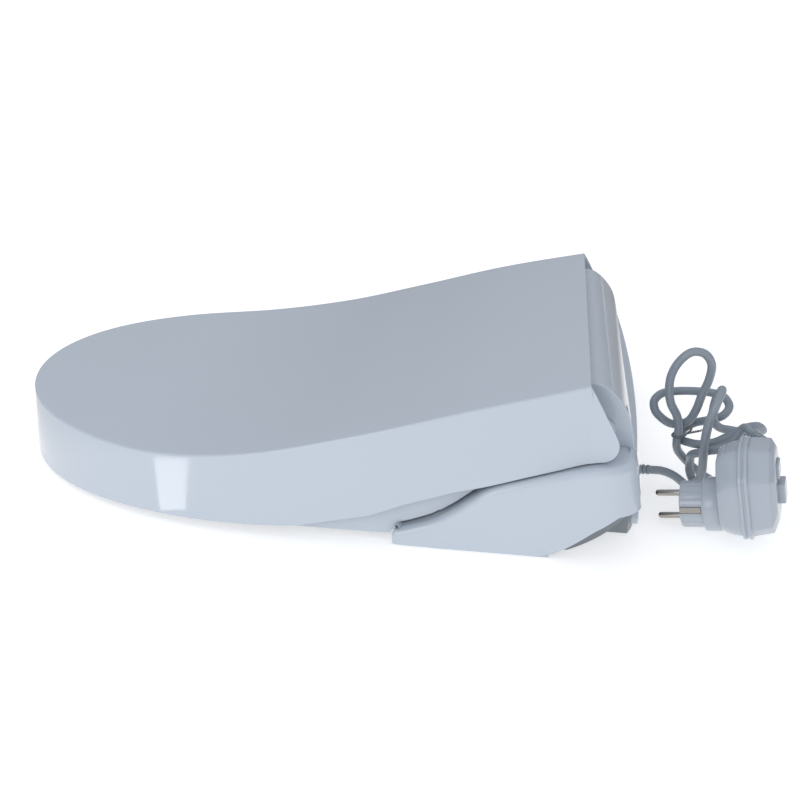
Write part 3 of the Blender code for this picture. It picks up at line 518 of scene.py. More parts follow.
MATERIALS = {
    "white_gloss": moulded("white_gloss", (0.545, 0.6, 0.67), (0.08, 0.14), coat=0.35),
    "plug_white": moulded("plug_white", (0.42, 0.465, 0.52), (0.16, 0.24), coat=0.2, texture=0.00003),
    "lower_case": moulded("lower_case", (0.21, 0.235, 0.26), (0.3, 0.42), texture=0.00006),
    "bumper_rubber": moulded("bumper_rubber", (0.5, 0.52, 0.55), (0.6, 0.75), texture=0.00006),
    "cord_sheath": moulded("cord_sheath", (0.27, 0.31, 0.35), (0.26, 0.36), coat=0.15, texture=0.00003,
                           texture_scale=1400),
    "cable_tie": moulded("cable_tie", (0.16, 0.17, 0.19), (0.35, 0.45)),
    "steel": brushed("steel", (0.36, 0.34, 0.32), 0.22),
    "heater_foil": brushed("heater_foil", (0.7, 0.71, 0.73), 0.35),
    "circuit_board": circuit_board(),
    "inner_white": moulded("inner_white", (0.68, 0.71, 0.74), (0.3, 0.42)),
    "inner_grey": moulded("inner_grey", (0.2, 0.225, 0.25), (0.42, 0.55), texture=0.00007),
}


# Pieces


def soften(obj, width, segments=3, angle=32):
    """Rounds every edge sharper than the angle."""
    edge = obj.modifiers.new("soft_edges", "BEVEL")
    edge.width = width
    edge.segments = segments
    edge.limit_method = "ANGLE"
    edge.angle_limit = math.radians(angle)
    edge.miter_outer = "MITER_ARC"
    even = obj.modifiers.new("even_shading", "WEIGHTED_NORMAL")
    even.keep_sharp = True


def finish_cad_nodes():
    """Gives each node its slot's material, smooth where it is round and soft at its edges."""
    for row in frame["record"]["subparts"]:
        node = nodes[row["node"]]
        node.data.materials.clear()
        node.data.materials.append(MATERIALS[row["material_slot"]])
        node.data.shade_smooth()
        soften(node, 0.35 * MM, segments=2, angle=40)


def mesh_from(name, shape):
    points, faces = shape
    mesh = bpy.data.meshes.new(name)
    mesh.from_pydata([Vector(p) for p in points], [], faces)
    tidy = bmesh.new()
    tidy.from_mesh(mesh)
    bmesh.ops.remove_doubles(tidy, verts=tidy.verts, dist=0.000005)
    bmesh.ops.recalc_face_normals(tidy, faces=tidy.faces)
    tidy.to_mesh(mesh)
    tidy.free()
    return mesh


def trimmed(name, mesh, operation, cutters):
    """The mesh after a Boolean with each cutter."""
    helpers = [linked(name + "_raw", mesh)]
    for index, cutter in enumerate(cutters):
        helper = linked(f"{name}_cutter_{index}", mesh_from("cutter", cutter))
        helpers.append(helper)
        modifier = helpers[0].modifiers.new("trim", "BOOLEAN")
        modifier.operation = operation
        modifier.solver = "EXACT"
        modifier.object = helper
    made = baked(helpers[0])
    for helper in helpers:
        bpy.data.objects.remove(helper)
    return made


def piece(name, shape, slot, body, replaced=(), soft=0.0, segments=3, angle=32, cuts=(), fused=(), wall=0.0,
          even=False):
    """A new mesh piece that rides on a body: hollowed to a wall, fused, cut and softened as asked."""
    mesh = mesh_from(name, shape)
    if fused:
        mesh = trimmed(name, mesh, "UNION", fused)
    if wall:
        shell = linked(name + "_skin", mesh)
        skin = shell.modifiers.new("wall", "SOLIDIFY")
        skin.thickness = wall
        skin.offset = -1
        skin.use_even_offset = even
        mesh = baked(shell)
        bpy.data.objects.remove(shell)
    if cuts:
        mesh = trimmed(name, mesh, "DIFFERENCE", cuts)
    mesh.materials.clear()
    mesh.materials.append(MATERIALS[slot])
    mesh.shade_smooth()
    obj = linked(name, mesh)
    if soft:
        soften(obj, soft, segments, angle)
    else:
        mesh.set_sharp_from_angle(angle=math.radians(35))
    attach(obj, body)
    if replaced:
        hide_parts(*replaced)
    return obj


# Lid


def cheek_top(y):
    """Upper edge of the cheek behind the lid's top: a slanted line that runs into the round corner."""
    if y < HINGE.y + CHEEK_RADIUS * math.sin(CHEEK_SLANT):
        return smooth(LID_TOP, LID_REAR) - (y - LID_REAR) * math.tan(CHEEK_SLANT)
    return HINGE.z + math.sqrt(max(0.0, CHEEK_RADIUS**2 - (y - HINGE.y) ** 2))


def skirt_bottom(y):
    if y <= HINGE.y:
        return smooth(LID_BOTTOM, y)
    return HINGE.z - math.sqrt(max(0.0, CHEEK_RADIUS**2 - (y - HINGE.y) ** 2))


def outline_normal(y):
    """Outward direction of the lid's outline in plan, on the +X side."""
    if y <= LID_FRONT:
        return 0.0, -1.0
    step = 0.2 * MM
    high = min(LID_REAR, y + step)
    low = max(LID_FRONT, y - step)
    slope = (half_width(high) - half_width(low)) / (high - low)
    length = math.hypot(1, slope)
    return 1 / length, -slope / length


def lid_stations(spacing=3.5 * MM, fineness=3000):
    """(y, half width) at equal steps along the lid's outline, from the front tip to its rear edge."""
    rows = [LID_FRONT + (LID_REAR - LID_FRONT) * (k / fineness) ** 2 for k in range(fineness + 1)]
    fine = [(half_width(y), y) for y in rows]
    stations = [fine[0]]
    run = 0.0
    for a, b in zip(fine, fine[1:]):
        run += math.dist(a, b)
        if run >= spacing:
            stations.append(b)
            run = 0.0
    stations[-1] = fine[-1]
    return [(y, half) for half, y in stations]


def skirt_column(side, y, half, top, bottom):
    """Points down the skirt at one place, from its upper round edge to its lower edge."""
    nx, ny = outline_normal(y)
    column = []
    for j in range(1, EDGE_STEPS + 1):
        angle = math.pi / 2 * j / EDGE_STEPS
        out = LID_EDGE * (math.sin(angle) - 1)
        column.append((side * (half + out * nx), y + out * ny, top - LID_EDGE * (1 - math.cos(angle))))
    for j in range(1, SKIRT_STEPS + 1):
        share = j / SKIRT_STEPS
        flare = SKIRT_FLARE * share
        z = top - LID_EDGE + (bottom - top + LID_EDGE) * share
        column.append((side * (half + flare * nx), y + flare * ny, z))
    return column


def cheek_column(side, y):
    """Points down the cheek at one place behind the lid's top."""
    full = smooth(LID_TOP, LID_REAR)
    depth = full - skirt_bottom(HINGE.y)
    top, bottom = cheek_top(y), skirt_bottom(y)
    count = EDGE_STEPS + SKIRT_STEPS
    column = []
    for j in range(count + 1):
        z = top + (bottom - top) * j / count
        flare = SKIRT_FLARE * min(1.0, (full - z) / depth)
        column.append((side * (LID_REAR_HALF_WIDTH + flare), y, z))
    return column


def added(points, column):
    """Adds a column to the points and gives its place among them."""
    start = len(points)
    points.extend(column)
    return list(range(start, len(points)))


def strips(faces, previous, column):
    faces.extend((previous[j], column[j], column[j + 1], previous[j + 1]) for j in range(len(column) - 1))


def lid_skin():
    """Outer skin of the lid: a top ruled straight across, a small round edge, the skirt and the cheeks."""
    stations = lid_stations()
    width = LID_COLUMNS + 1
    points, faces = [], []
    for y, half in stations:
        nx, ny = outline_normal(y)
        row = y - LID_EDGE * ny
        for k in range(width):
            points.append(((half - LID_EDGE * nx) * (2 * k / LID_COLUMNS - 1), row, smooth(LID_TOP, row)))
    for r in range(len(stations) - 1):
        a = r * width
        faces += [(a + k, a + k + 1, a + k + 1 + width, a + k + width) for k in range(LID_COLUMNS)]
    tip = HINGE.y + CHEEK_RADIUS
    for side in (-1, 1):
        previous = None
        for index, (y, half) in enumerate(stations):
            skirt = skirt_column(side, y, half, smooth(LID_TOP, y), skirt_bottom(y))
            column = [index * width + (LID_COLUMNS if side > 0 else 0)] + added(points, skirt)
            if previous:
                strips(faces, previous, column)
            previous = column
        for k in range(1, CHEEK_STEPS + 1):
            y = LID_REAR + (tip - LID_REAR) * math.sin(math.pi / 2 * k / CHEEK_STEPS)
            column = added(points, cheek_column(side, y))
            strips(faces, previous, column)
            previous = column
    return points, faces


def rib(start, end, depth, half=0.8 * MM, steps=16):
    """A stiffening rib under the lid's top between two (x, y) points in millimetres."""
    start, end = Vector(start) * MM, Vector(end) * MM
    across_rib = (end - start).normalized().orthogonal() * half
    rings = []
    for k in range(steps + 1):
        centre = start.lerp(end, k / steps)
        top = smooth(LID_TOP, centre.y) - RIB_SINK * MM
        a, b = centre - across_rib, centre + across_rib
        rings.append([(*a, top), (*b, top), (*b, top - depth), (*a, top - depth)])
    return loft(rings)


def add_lid():
    piece("lid", lid_skin(), "white_gloss", "lid", ["lid_shell"], soft=0.6 * MM, angle=50, wall=LID_WALL,
          even=True)
    for side, name in ((1, "left"), (-1, "right")):
        boss = tube(9, HINGE_BORE, at_hinge(side * 171), at_hinge(side * 178.2), 48)
        piece(f"lid_hinge_boss_{name}", boss, "white_gloss", "lid", soft=0.5 * MM)
        long_rib = rib((side * 62, -215), (side * 62, 196), 4 * MM, steps=60)
        piece(f"lid_long_rib_{name}", long_rib, "white_gloss", "lid", soft=0.4 * MM)
    for index, (row, half) in enumerate(LID_CROSS_RIBS):
        cross_rib = rib((-half, row), (half, row), 3.4 * MM)
        piece(f"lid_cross_rib_{index}", cross_rib, "white_gloss", "lid", soft=0.4 * MM)


# Seat ring


def seat_top(y):
    return smooth(LID_TOP, y) - SEAT_BELOW_LID - max(0.0, y) * 0.05


def seat_underside(x, y):
    """Lower edge of the seat ring: level over the rim, rising over the wings and the nozzle."""
    over_wing = SEAT_RIM_HEIGHT
    if y > WING_START:
        over_wing = max(SEAT_RIM_HEIGHT, linear(WING_TOP, y) + WING_GAP)
    rise = min(1.0, max(0.0, (y - SEAT_ARCH_START) / SEAT_ARCH_RUN))
    arch = SEAT_RIM_HEIGHT + (SEAT_ARCH_HEIGHT - SEAT_RIM_HEIGHT) * rise * rise * (3 - 2 * rise)
    if arch <= over_wing:
        return over_wing
    inside = min(1.0, max(0.0, (SEAT_ARCH_HALF_WIDTH - abs(x)) / SEAT_ARCH_SIDE))
    return over_wing + (arch - over_wing) * inside


def in_seat(x, y, inset):
    front = min(1.0, max(0.0, (LID_WIDEST - y) / (LID_WIDEST - SEAT_FRONT - inset)))
    side = half_width(max(y, LID_WIDEST)) - SEAT_INSET - inset
    return abs(x) < side * math.sqrt(1 - min(1.0, front**FRONT_ROUNDNESS)) and y < SEAT_REAR - inset


def seat_reach(angle, inset):
    """Distance from the hole's centre to the seat's outer edge in that direction."""
    low, high = 0.0, 400 * MM
    for _ in range(30):
        middle = (low + high) / 2
        inside = in_seat(middle * math.cos(angle), HOLE_CENTRE + middle * math.sin(angle), inset)
        low, high = (middle, high) if inside else (low, middle)
    return low


def hole_reach(angle, inset):
    x = abs(math.cos(angle)) / (HOLE_HALF_WIDTH + inset)
    y = abs(math.sin(angle)) / (HOLE_HALF_LENGTH + inset)
    return (x**HOLE_ROUNDNESS + y**HOLE_ROUNDNESS) ** (-1 / HOLE_ROUNDNESS)


def seat_rings(section, inner_inset=0.0, outer_inset=0.0, sides=SEAT_SIDES):
    """Carries a section of (share of the width, "top" or "under", millimetres above it) round the seat."""
    rings = []
    for k in range(sides):
        angle = 2 * math.pi * (k + 0.5) / sides
        inner, outer = hole_reach(angle, inner_inset), seat_reach(angle, outer_inset)
        ring = []
        for share, base, rise in section:
            reach = inner + (outer - inner) * share
            x, y = reach * math.cos(angle), HOLE_CENTRE + reach * math.sin(angle)
            height = seat_top(y) if base == "top" else seat_underside(x, y)
            ring.append((x, y, height + rise * MM))
        rings.append(ring)
    return rings


def crowned(knots, steps=5):
    """A smooth line through (share, height) pairs in millimetres."""
    line = [Vector(k) for k in knots]
    line = [2 * line[0] - line[1]] + line + [2 * line[-1] - line[-2]]
    fine = []
    for i in range(1, len(line) - 2):
        p, q = line[i], line[i + 1]
        a, b = (q - line[i - 1]) / 2, (line[i + 2] - p) / 2
        for k in range(steps):
            t = k / steps
            fine.append(p * (2 * t**3 - 3 * t**2 + 1) + a * (t**3 - 2 * t**2 + t)
                        + q * (3 * t**2 - 2 * t**3) + b * (t**3 - t**2))
    return [tuple(point) for point in fine + [line[-2]]]


def seat_shoulder(side, steps=20):
    """Corner of the seat that reaches back over the wing, between the lid's skirt and the arm."""
    rings = []
    for k in range(steps + 1):
        y = SHOULDER_START + SHOULDER_LENGTH * k / steps
        outer = side * (half_width(y) - SEAT_INSET)
        inner = side * SHOULDER_INNER
        low = smooth(WING_TOP, y) + WING_GAP
        high = min(seat_top(y) - 9 * MM, SHOULDER_TOP)
        rings.append([(inner, y, low), (outer, y, low), (outer, y, high), (inner, y, high)])
    return loft(rings)


def seat_arm(side):
    """Arm that carries the seat back beside the unit to the hinge, as a prism along X."""
    profile = [(121, 39), (140, 50), (165, 62.5), (200, 76), (222, 78.4)]
    profile += arc((HINGE_Y, HINGE_Z), 10, -90, 90, 24)
    profile += [(205, 100), (180, 99), (150, 94), (121, 82)]
    return prism("X", in_metres(profile), *sorted((side * ARM_INNER, side * ARM_OUTER)))


def seat_ring():
    """The ring's shell: crowned above, hollow below."""
    top = crowned([(0, -12), (0.025, -8), (0.09, -4.6), (0.3, -0.8), (0.55, 0), (0.82, -1.5), (0.93, -4),
                   (0.985, -7.6), (1, -11)])
    upper = [(0.012, "under", 0), (0, "under", 1)] + [(s, "top", h) for s, h in top]
    upper += [(1, "under", 1), (0.988, "under", 0)]
    share = SEAT_WALL_SHARE
    inner = [(1 - share, "under", 0), (1 - share, "top", -11), (0.9, "top", -6.5),
             (0.55, "top", -SEAT_WALL / MM), (0.12, "top", -8), (share, "top", -13), (share, "under", 0)]
    return loft(seat_rings(upper + inner), closed=True)


def add_seat():
    piece("seat_ring", seat_ring(), "white_gloss", "seat", ["seat_upper_shell"])
    plate = [(0, "under", 1.2), (0, "under", 3.6), (1, "under", 3.6), (1, "under", 1.2)]
    underside = loft(seat_rings(plate, SEAT_PLATE_INSET, SEAT_PLATE_INSET), closed=True)
    piece("seat_underside", underside, "lower_case", "seat", ["seat_base_plate"], soft=0.5 * MM)
    for side, name in ((1, "left"), (-1, "right")):
        bore = rod(HINGE_BORE, at_hinge(side * 149), at_hinge(side * 172), 32)
        piece(f"seat_shoulder_{name}", seat_shoulder(side), "white_gloss", "seat", soft=1.2 * MM, segments=4,
              angle=40)
        piece(f"seat_arm_{name}", seat_arm(side), "white_gloss", "seat", soft=2 * MM, segments=4, angle=40,
              cuts=[bore])


# Main unit


def quarter_turn(x, y, radius, start, steps):
    """Stations round a corner of the given centre, from the start angle in degrees."""
    stations = []
    for k in range(steps + 1):
        angle = math.radians(start + 90 * k / steps)
        nx, ny = math.cos(angle), math.sin(angle)
        stations.append((x + radius * nx, y + radius * ny, nx, ny))
    return stations


def panel_outline(front=8, side=36, rear=4):
    """Stations round a side panel's outer edge on the +X side: (x, y, outward x, outward y)."""
    corner = PANEL_FRONT_CORNER
    turn = PANEL_OUTER - corner
    width = turn - PANEL_INNER
    stations = [(PANEL_INNER + width * k / front, PANEL_FRONT, 0.0, -1.0) for k in range(front)]
    stations += quarter_turn(turn, PANEL_FRONT + corner, corner, -90, 6)
    length = PANEL_REAR - PANEL_FRONT - corner
    stations += [(PANEL_OUTER, PANEL_REAR - length * (1 - k / side), 1.0, 0.0) for k in range(1, side)]
    last = PANEL_OUTER - PANEL_CORNER
    stations += quarter_turn(last, PANEL_REAR, PANEL_CORNER, 0, 24)
    end = PANEL_REAR + PANEL_CORNER
    stations += [(last + (PANEL_INNER - last) * k / rear, end, 0.0, 1.0) for k in range(1, rear + 1)]
    return stations


def leaned(point):
    """The rear corner leans out towards its lower edge, as the rear wall does."""
    x, y, z = point
    share = max(0.0, (y - PANEL_REAR) / PANEL_CORNER)
    return x, y + REAR_LEAN * share * max(0.0, (LEDGE - z) / (LEDGE - REAR_WALL_FOOT)), z


def panel_skin():
    """Skin of a side panel: outer wall, broad round edge, roof and inner wall, open below."""
    points, faces = [], []
    previous = None
    for x, y, nx, ny in panel_outline():
        column = []
        bottom = linear(WING_BOTTOM, y)
        edge = min(PANEL_EDGE, 0.45 * (smooth(WING_TOP, y) - bottom))
        top = smooth(WING_TOP, y) - edge
        for k in range(6):
            column.append((x, y, bottom + (top - bottom) * k / 6))
        for k in range(PANEL_EDGE_STEPS + 1):
            angle = math.pi / 2 * k / PANEL_EDGE_STEPS
            px, py = x - nx * edge * (1 - math.cos(angle)), y - ny * edge * (1 - math.cos(angle))
            column.append((px, py, smooth(WING_TOP, py) - edge * (1 - math.sin(angle))))
        for k in range(1, 5):
            qx = px + (PANEL_INNER - px) * k / 4
            column.append((qx, py, smooth(WING_TOP, py)))
        low = linear(WING_BOTTOM, py)
        high = smooth(WING_TOP, py)
        for k in range(1, 4):
            column.append((PANEL_INNER, py, high + (low - high) * k / 3))
        indices = added(points, [leaned(point) for point in column])
        if previous:
            strips(faces, previous, indices)
        previous = indices
    return points, faces


def add_side_panels():
    piece("unit_side_left", panel_skin(), "white_gloss", "unit", ["side_panel_left"], soft=0.6 * MM, angle=50,
          wall=PANEL_WALL)
    filter_window = box((-200, -180), (150, 180), (8, 30))
    release_window = box((-200, -180), (185.6, 202.4), (11.6, 20.4))
    windows = [filter_window, release_window]
    windows += [rod(BUTTON_WINDOW, (-200, y, z), (-180, y, z), 48) for y, z in BUTTONS.values()]
    piece("unit_side_right", mirrored(panel_skin(), -1), "white_gloss", "unit", ["side_panel_right"],
          soft=0.5 * MM, angle=50, wall=PANEL_WALL, cuts=windows)
    for name, (y, z) in BUTTONS.items():
        ring = tube(8.2, BUTTON_WINDOW + 0.1, (-191.3, y, z), (-189.5, y, z), 64)
        piece(f"{name}_button_surround", ring, "white_gloss", "unit", soft=0.5 * MM)


def add_hinge_cover():
    outline = [TOP_CASE_PROFILE[0]] + crowned(TOP_CASE_PROFILE[1:], 6)
    cover = prism("X", in_metres(outline), -UNIT_HALF_WIDTH, UNIT_HALF_WIDTH)
    room_half = UNIT_HALF_WIDTH - UNIT_WALL
    room = prism("X", in_metres(TOP_CASE_ROOM), -room_half, room_half)
    bores = [rod(HINGE_BORE, at_hinge(side * 146), at_hinge(side * 152), 32) for side in (-1, 1)]
    piece("hinge_cover", cover, "white_gloss", "unit", ["top_case"], soft=1.6 * MM, segments=5, angle=50,
          cuts=[room] + bores)
    ledge = prism("Z", bowed(258 * MM, 4.6 * MM, steps=48), 71.3 * MM, LEDGE)
    piece("rear_ledge", ledge, "white_gloss", "unit", ["top_case"], soft=1.2 * MM, segments=4, angle=50,
          cuts=[room])


def add_rear_wall():
    rings = []
    for height, lean in ((REAR_WALL_FOOT, REAR_LEAN), (REAR_WALL_HEAD, 0.0)):
        plan = bowed(REAR_WALL_PLACE + lean, 5 * MM, UNIT_WALL, steps=48)
        rings.append([(x, y, height) for x, y in plan])
    piece("rear_wall", loft(rings), "white_gloss", "unit", ["rear_cover"], soft=0.8 * MM, angle=50)


def backward_frame(x, z):
    """Local +Z runs backward out of the lower case's rear wall at that place in millimetres."""
    return Matrix.Translation(Vector((x, CASE_REAR, z)) * MM) @ Matrix.Rotation(-math.pi / 2, 4, "X")


def add_drain_plug():
    profile = [(0, 0), (6, 0), (6, 9.6), (5.6, 10.4), (4.8, 10.8), (0, 10.8)]
    cap = turned(profile, backward_frame(*DRAIN), 48)
    slot_cut = box((130.5, 138.5), (264.4, 270), (9.3, 10.7))
    piece("drain_plug", cap, "white_gloss", "drain", ["drain_cap"], soft=0.3 * MM, cuts=[slot_cut])


def add_lower_case():
    x, y = CASE_SKIRT_CENTRE
    outline = arc((x, y), CASE_SKIRT_RADIUS, 0, 90, 24) + arc((-x, y), CASE_SKIRT_RADIUS, 90, 180, 24)
    skirt = prism("Z", in_metres(outline), 2 * MM, 36.6 * MM)
    room = box((-144.5, 144.5), (130.5, 251.5), (9.5, 90))
    plate_pocket = box((-132, 132), (150, 236), (-5, 8.4))
    nozzle_window = box((-15, 15), (120, 135), (9.8, 42))
    dryer_window = box((-73, -51), (120, 135), (15, 31))
    cuts = [room, plate_pocket, nozzle_window, dryer_window]
    for (x, z), radius, start, sides in ((LEAD_OUTLET, 5.2, 240, 32), (WATER_INLET, 11.5, 240, 48),
                                         (DRAIN, 6.5, 254.2, 32)):
        cuts.append(rod(radius, (x, start, z), (x, 270, z), sides))
    rising = in_metres([(208, 0), (270, 25), (270, -5), (208, -5)])
    cuts += [prism("X", rising, *sorted((side * 147.3 * MM, side * 200 * MM))) for side in (-1, 1)]
    piece("lower_case", box((-147, 147), (128, 254), (7, 71)), "lower_case", "unit", ["bottom_case"],
          soft=0.8 * MM, angle=50, fused=[skirt], cuts=cuts)
    for index in range(5):
        height = 17.2 + 2.9 * index
        slat = box((-73.4, -50.6), (128.6, 130.4), (height - 0.5, height + 0.5))
        piece(f"dryer_slat_{index}", slat, "lower_case", "unit", soft=0.2 * MM)


def add_nozzle_jets():
    """Spray holes on the upper face of the nozzle's tip."""
    at = nozzle_frame(0)
    for index, (x, along) in enumerate(NOZZLE_JETS):
        rise = math.sqrt(NOZZLE_RADIUS**2 - x * x)
        jet = tube(0.9, 0.45, (x, rise - 0.4, along), (x, rise + 0.25, along), 16)
        piece(f"nozzle_jet_{index}", moved(jet, at), "inner_grey", "nozzle")


# Plug and mains lead


def filleted(outline, radius, steps=5):
    """The outline with each corner rounded by a short curve."""
    made = []
    for i, corner in enumerate(outline):
        corner = Vector(corner)
        before, after = Vector(outline[i - 1]) - corner, Vector(outline[(i + 1) % len(outline)]) - corner
        a = corner + before.normalized() * min(radius, before.length * 0.45)
        b = corner + after.normalized() * min(radius, after.length * 0.45)
        for k in range(steps + 1):
            t = k / steps
            made.append(tuple(a * (1 - t) ** 2 + corner * (2 * t * (1 - t)) + b * t**2))
    return made


def plug_shell(sections, at):
    """A housing across the plug from (depth, half width, top, bottom, corner) sections in millimetres."""
    rings = []
    for depth, half, top, bottom, radius in sections:
        right = [(half, bottom + 10), (half, top - 18), (13, top)]
        outline = right + [(-x, y) for x, y in right[::-1]] + [(10 - half, bottom), (half - 10, bottom)]
        rings.append([(x * MM, y * MM, depth * MM) for x, y in filleted(outline, radius)])
    return moved(loft(rings), at)


def fluted(profile, at, flutes, sides=144):
    """Turns (radius, height, flute depth) rows about local Z, with lengthwise flutes cut into the surface."""
    rings = []
    for r, h, depth in profile:
        ring = []
        for k in range(sides):
            angle = 2 * math.pi * k / sides
            near = abs((angle * flutes / (2 * math.pi)) % 1 - 0.5) * 2
            reach = r - depth * min(1.0, max(0.0, (near - 0.62) / 0.16))
            ring.append(polar(reach, angle, h))
        rings.append(ring)
    return moved(loft(rings), at)


def strain_relief(start, wide, end, narrow, ribs):
    """Profile of a tapered sleeve with grooves moulded round it."""
    profile = [(0, start), (wide - 0.4, start), (wide, start + 0.4)]
    pitch = (end - start - 3.4) / ribs
    for k in range(ribs):
        base = start + 2.2 + k * pitch
        for share, sunk in ((0.0, 0.0), (0.12, 0.75), (0.38, 0.75), (0.5, 0.0)):
            height = base + share * pitch
            radius = wide + (narrow - wide) * (height - start) / (end - start)
            profile.append((radius - sunk, height))
    return profile + [(narrow, end - 0.4), (narrow - 0.3, end), (0, end)]


def add_plug_nose(at):
    """The round front, fluted for grip, with a slot for each earth clip."""
    profile = [(0.5, -29.2, 0), (19.4, -29.2, 0), (20.2, -28.8, 0), (20.5, -28, 0), (20.5, -18.4, 0),
               (20.2, -17.5, 0), (19.5, -17, 0), (18, -17, 0), (17.6, -16.6, 0), (17.6, -15.4, 0),
               (17.6, -14.6, 0.55), (17.6, -2.4, 0.55), (17.6, -1.6, 0), (17.6, -1, 0), (17.3, -0.3, 0),
               (16.7, 0, 0), (0.5, 0, 0)]
    slots = [moved(box(sorted((side * 16, side * 19)), (0.2, 5.8), (-16, 1)), at) for side in (-1, 1)]
    return [piece("plug_nose", fluted(profile, at, 18), "plug_white", "unit", ["plug_front"], cuts=slots)]


def add_plug_pins(at):
    collar = [(0, -0.4), (4.6, -0.4), (4.6, 0.25), (4.2, 0.5), (0, 0.5)]
    pin = [(0, 0.3), (2.4, 0.3), (2.4, 17), (2.2, 18), (1.7, 18.8), (1, 19.2), (0, 19.3)]
    made = []
    for y, name in ((-PIN_OFFSET, "lower"), (PIN_OFFSET, "upper")):
        root = at @ Matrix.Translation((0, y * MM, 0))
        made.append(piece(f"plug_pin_collar_{name}", turned(collar, root, 48), "plug_white", "unit"))
        contact = turned(pin, root, 40)
        made.append(piece(f"plug_contact_{name}", contact, "steel", "unit", [f"plug_pin_{name}"]))
    return made


def add_plug_bowl(at):
    """The housing that widens from the nose to the rim."""
    body = [(-44.9, 30, 47.5, -17.5, 6), (-41, 29.5, 46.9, -17.4, 6), (-37, 28.4, 45.7, -17, 6),
            (-33, 26.9, 44.1, -16.4, 6), (-30.1, 25.2, 42.3, -15.7, 6), (-29.3, 24.4, 41.4, -14.9, 6),
            (-29, 23.4, 40.4, -13.9, 5)]
    return [piece("plug_bowl", plug_shell(body, at), "plug_white", "unit", ["plug_body"])]


def add_plug_rim(at):
    """Two raised bands with a groove between them, where the housings meet."""
    seam = [(-51.9, 30.8, 49.8, -18.8, 6), (-51.3, 31.5, 50.5, -19.5, 6), (-49.4, 31.5, 50.5, -19.5, 6),
            (-48.9, 30.7, 49.7, -18.7, 6), (-47.9, 30.7, 49.7, -18.7, 6), (-47.4, 31.5, 50.5, -19.5, 6),
            (-45.5, 31.5, 50.5, -19.5, 6), (-44.9, 30.8, 49.8, -18.8, 6)]
    return [piece("plug_rim", plug_shell(seam, at), "plug_white", "unit", ["plug_seam_ring"])]


def add_plug_block(at):
    """The residual-current block behind the rim, with its two keys."""
    block = [(-69.5, 19.4, 40.4, -7.4, 2), (-69.2, 20.4, 41.3, -8.4, 2), (-66.3, 26.6, 47.1, -14.6, 2),
             (-65.7, 27.2, 47.6, -15.2, 2), (-58, 28.5, 48.2, -16.2, 2), (-51.8, 29.5, 48.5, -17, 2)]
    cuts = [moved(rod(5.4, (0, 0, -3), (0, 0, 12), 40), gland_frame())]
    for _, low, high, _ in PLUG_KEYS:
        cuts.append(moved(box((-8.4, 8.4), (low - 0.4, high + 0.4), (-80, -66.6)), at))
    made = [piece("plug_block", plug_shell(block, at), "plug_white", "unit", ["plug_rear_block"], cuts=cuts)]
    for name, low, high, face in PLUG_KEYS:
        key = moved(box((-8, 8), (low, high), (face, -68.5)), at)
        made.append(piece(f"plug_{name}_key", key, "plug_white", f"{name}_key", [f"rcd_{name}_button"],
                          soft=1 * MM, segments=4))
    return made


def add_finger_ribs(at):
    """Three short bars across the top of the bowl."""
    made = []
    for index in range(3):
        lift, along = 43.75 + 0.95 * index, -33.5 - 3 * index
        bar = moved(rod(0.9, (-9, lift, along), (9, lift, along), 16), at)
        made.append(piece(f"plug_finger_rib_{index}", bar, "plug_white", "unit", soft=0.3 * MM))
    return made


def add_plug():
    at = plug_matrix()
    made = add_plug_nose(at) + add_plug_pins(at) + add_plug_bowl(at) + add_plug_rim(at)
    return made + add_plug_block(at) + add_finger_ribs(at)


def tie_path(turns, lift, steps=40):
    """Points of a wire drawn round the two strands of the lead, rising a little on each turn."""
    first, second = TIE_STRANDS
    points = []
    for k in range(int(turns * steps) + 1):
        angle = 2 * math.pi * k / steps + 0.9
        out = Vector((math.cos(angle), math.sin(angle)))
        strand = first if out.dot(first - second) > 0 else second
        height = TIE_HEIGHT - lift / 2 + lift * k / (turns * steps)
        points.append(tuple(Vector((*(strand + out * TIE_REACH), height)) * MM))
    return points


def wire(name, points, radius, slot, body, roundness=4):
    curve = bpy.data.curves.new(name, "CURVE")
    curve.dimensions = "3D"
    curve.bevel_depth = radius
    curve.bevel_resolution = roundness
    curve.use_fill_caps = True
    spline = curve.splines.new("POLY")
    spline.points.add(len(points) - 1)
    for target, point in zip(spline.points, points):
        target.co = (*point, 1)
    curve.materials.append(MATERIALS[slot])
    obj = linked(name, curve)
    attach(obj, body)
    return obj


def add_tie():
    """Twist tie: a covered wire wound twice round the strands, its two ends twisted together and bent out."""
    band = wire("twist_tie", tie_path(2, 1.6), 0.6 * MM, "cable_tie", "unit")
    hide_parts("cable_tie")
    made = [band]
    first, second = TIE_STRANDS
    side = (first - second).normalized()
    out = Vector((-side.y, side.x))
    if out.x < 0:
        out = -out
    middle = (first + second) / 2
    root = Vector((*(middle + out * TIE_REACH), TIE_HEIGHT))
    heading = Vector((out.x, out.y, 0.5)).normalized()
    a = heading.orthogonal().normalized()
    b = heading.cross(a)
    for index in range(2):
        points = []
        for k in range(49):
            run = TAIL_LENGTH * k / 48
            angle = math.pi * index + 2 * math.pi * min(run, TAIL_TWISTED) / TAIL_PITCH
            spread = 0.6 + max(0.0, run - TAIL_TWISTED) * 0.5
            offset = a * math.cos(angle) + b * math.sin(angle)
            points.append(tuple((root + heading * run + offset * spread) * MM))
        made.append(wire(f"twist_tie_tail_{index}", points, 0.45 * MM, "cable_tie", "unit"))
    return made


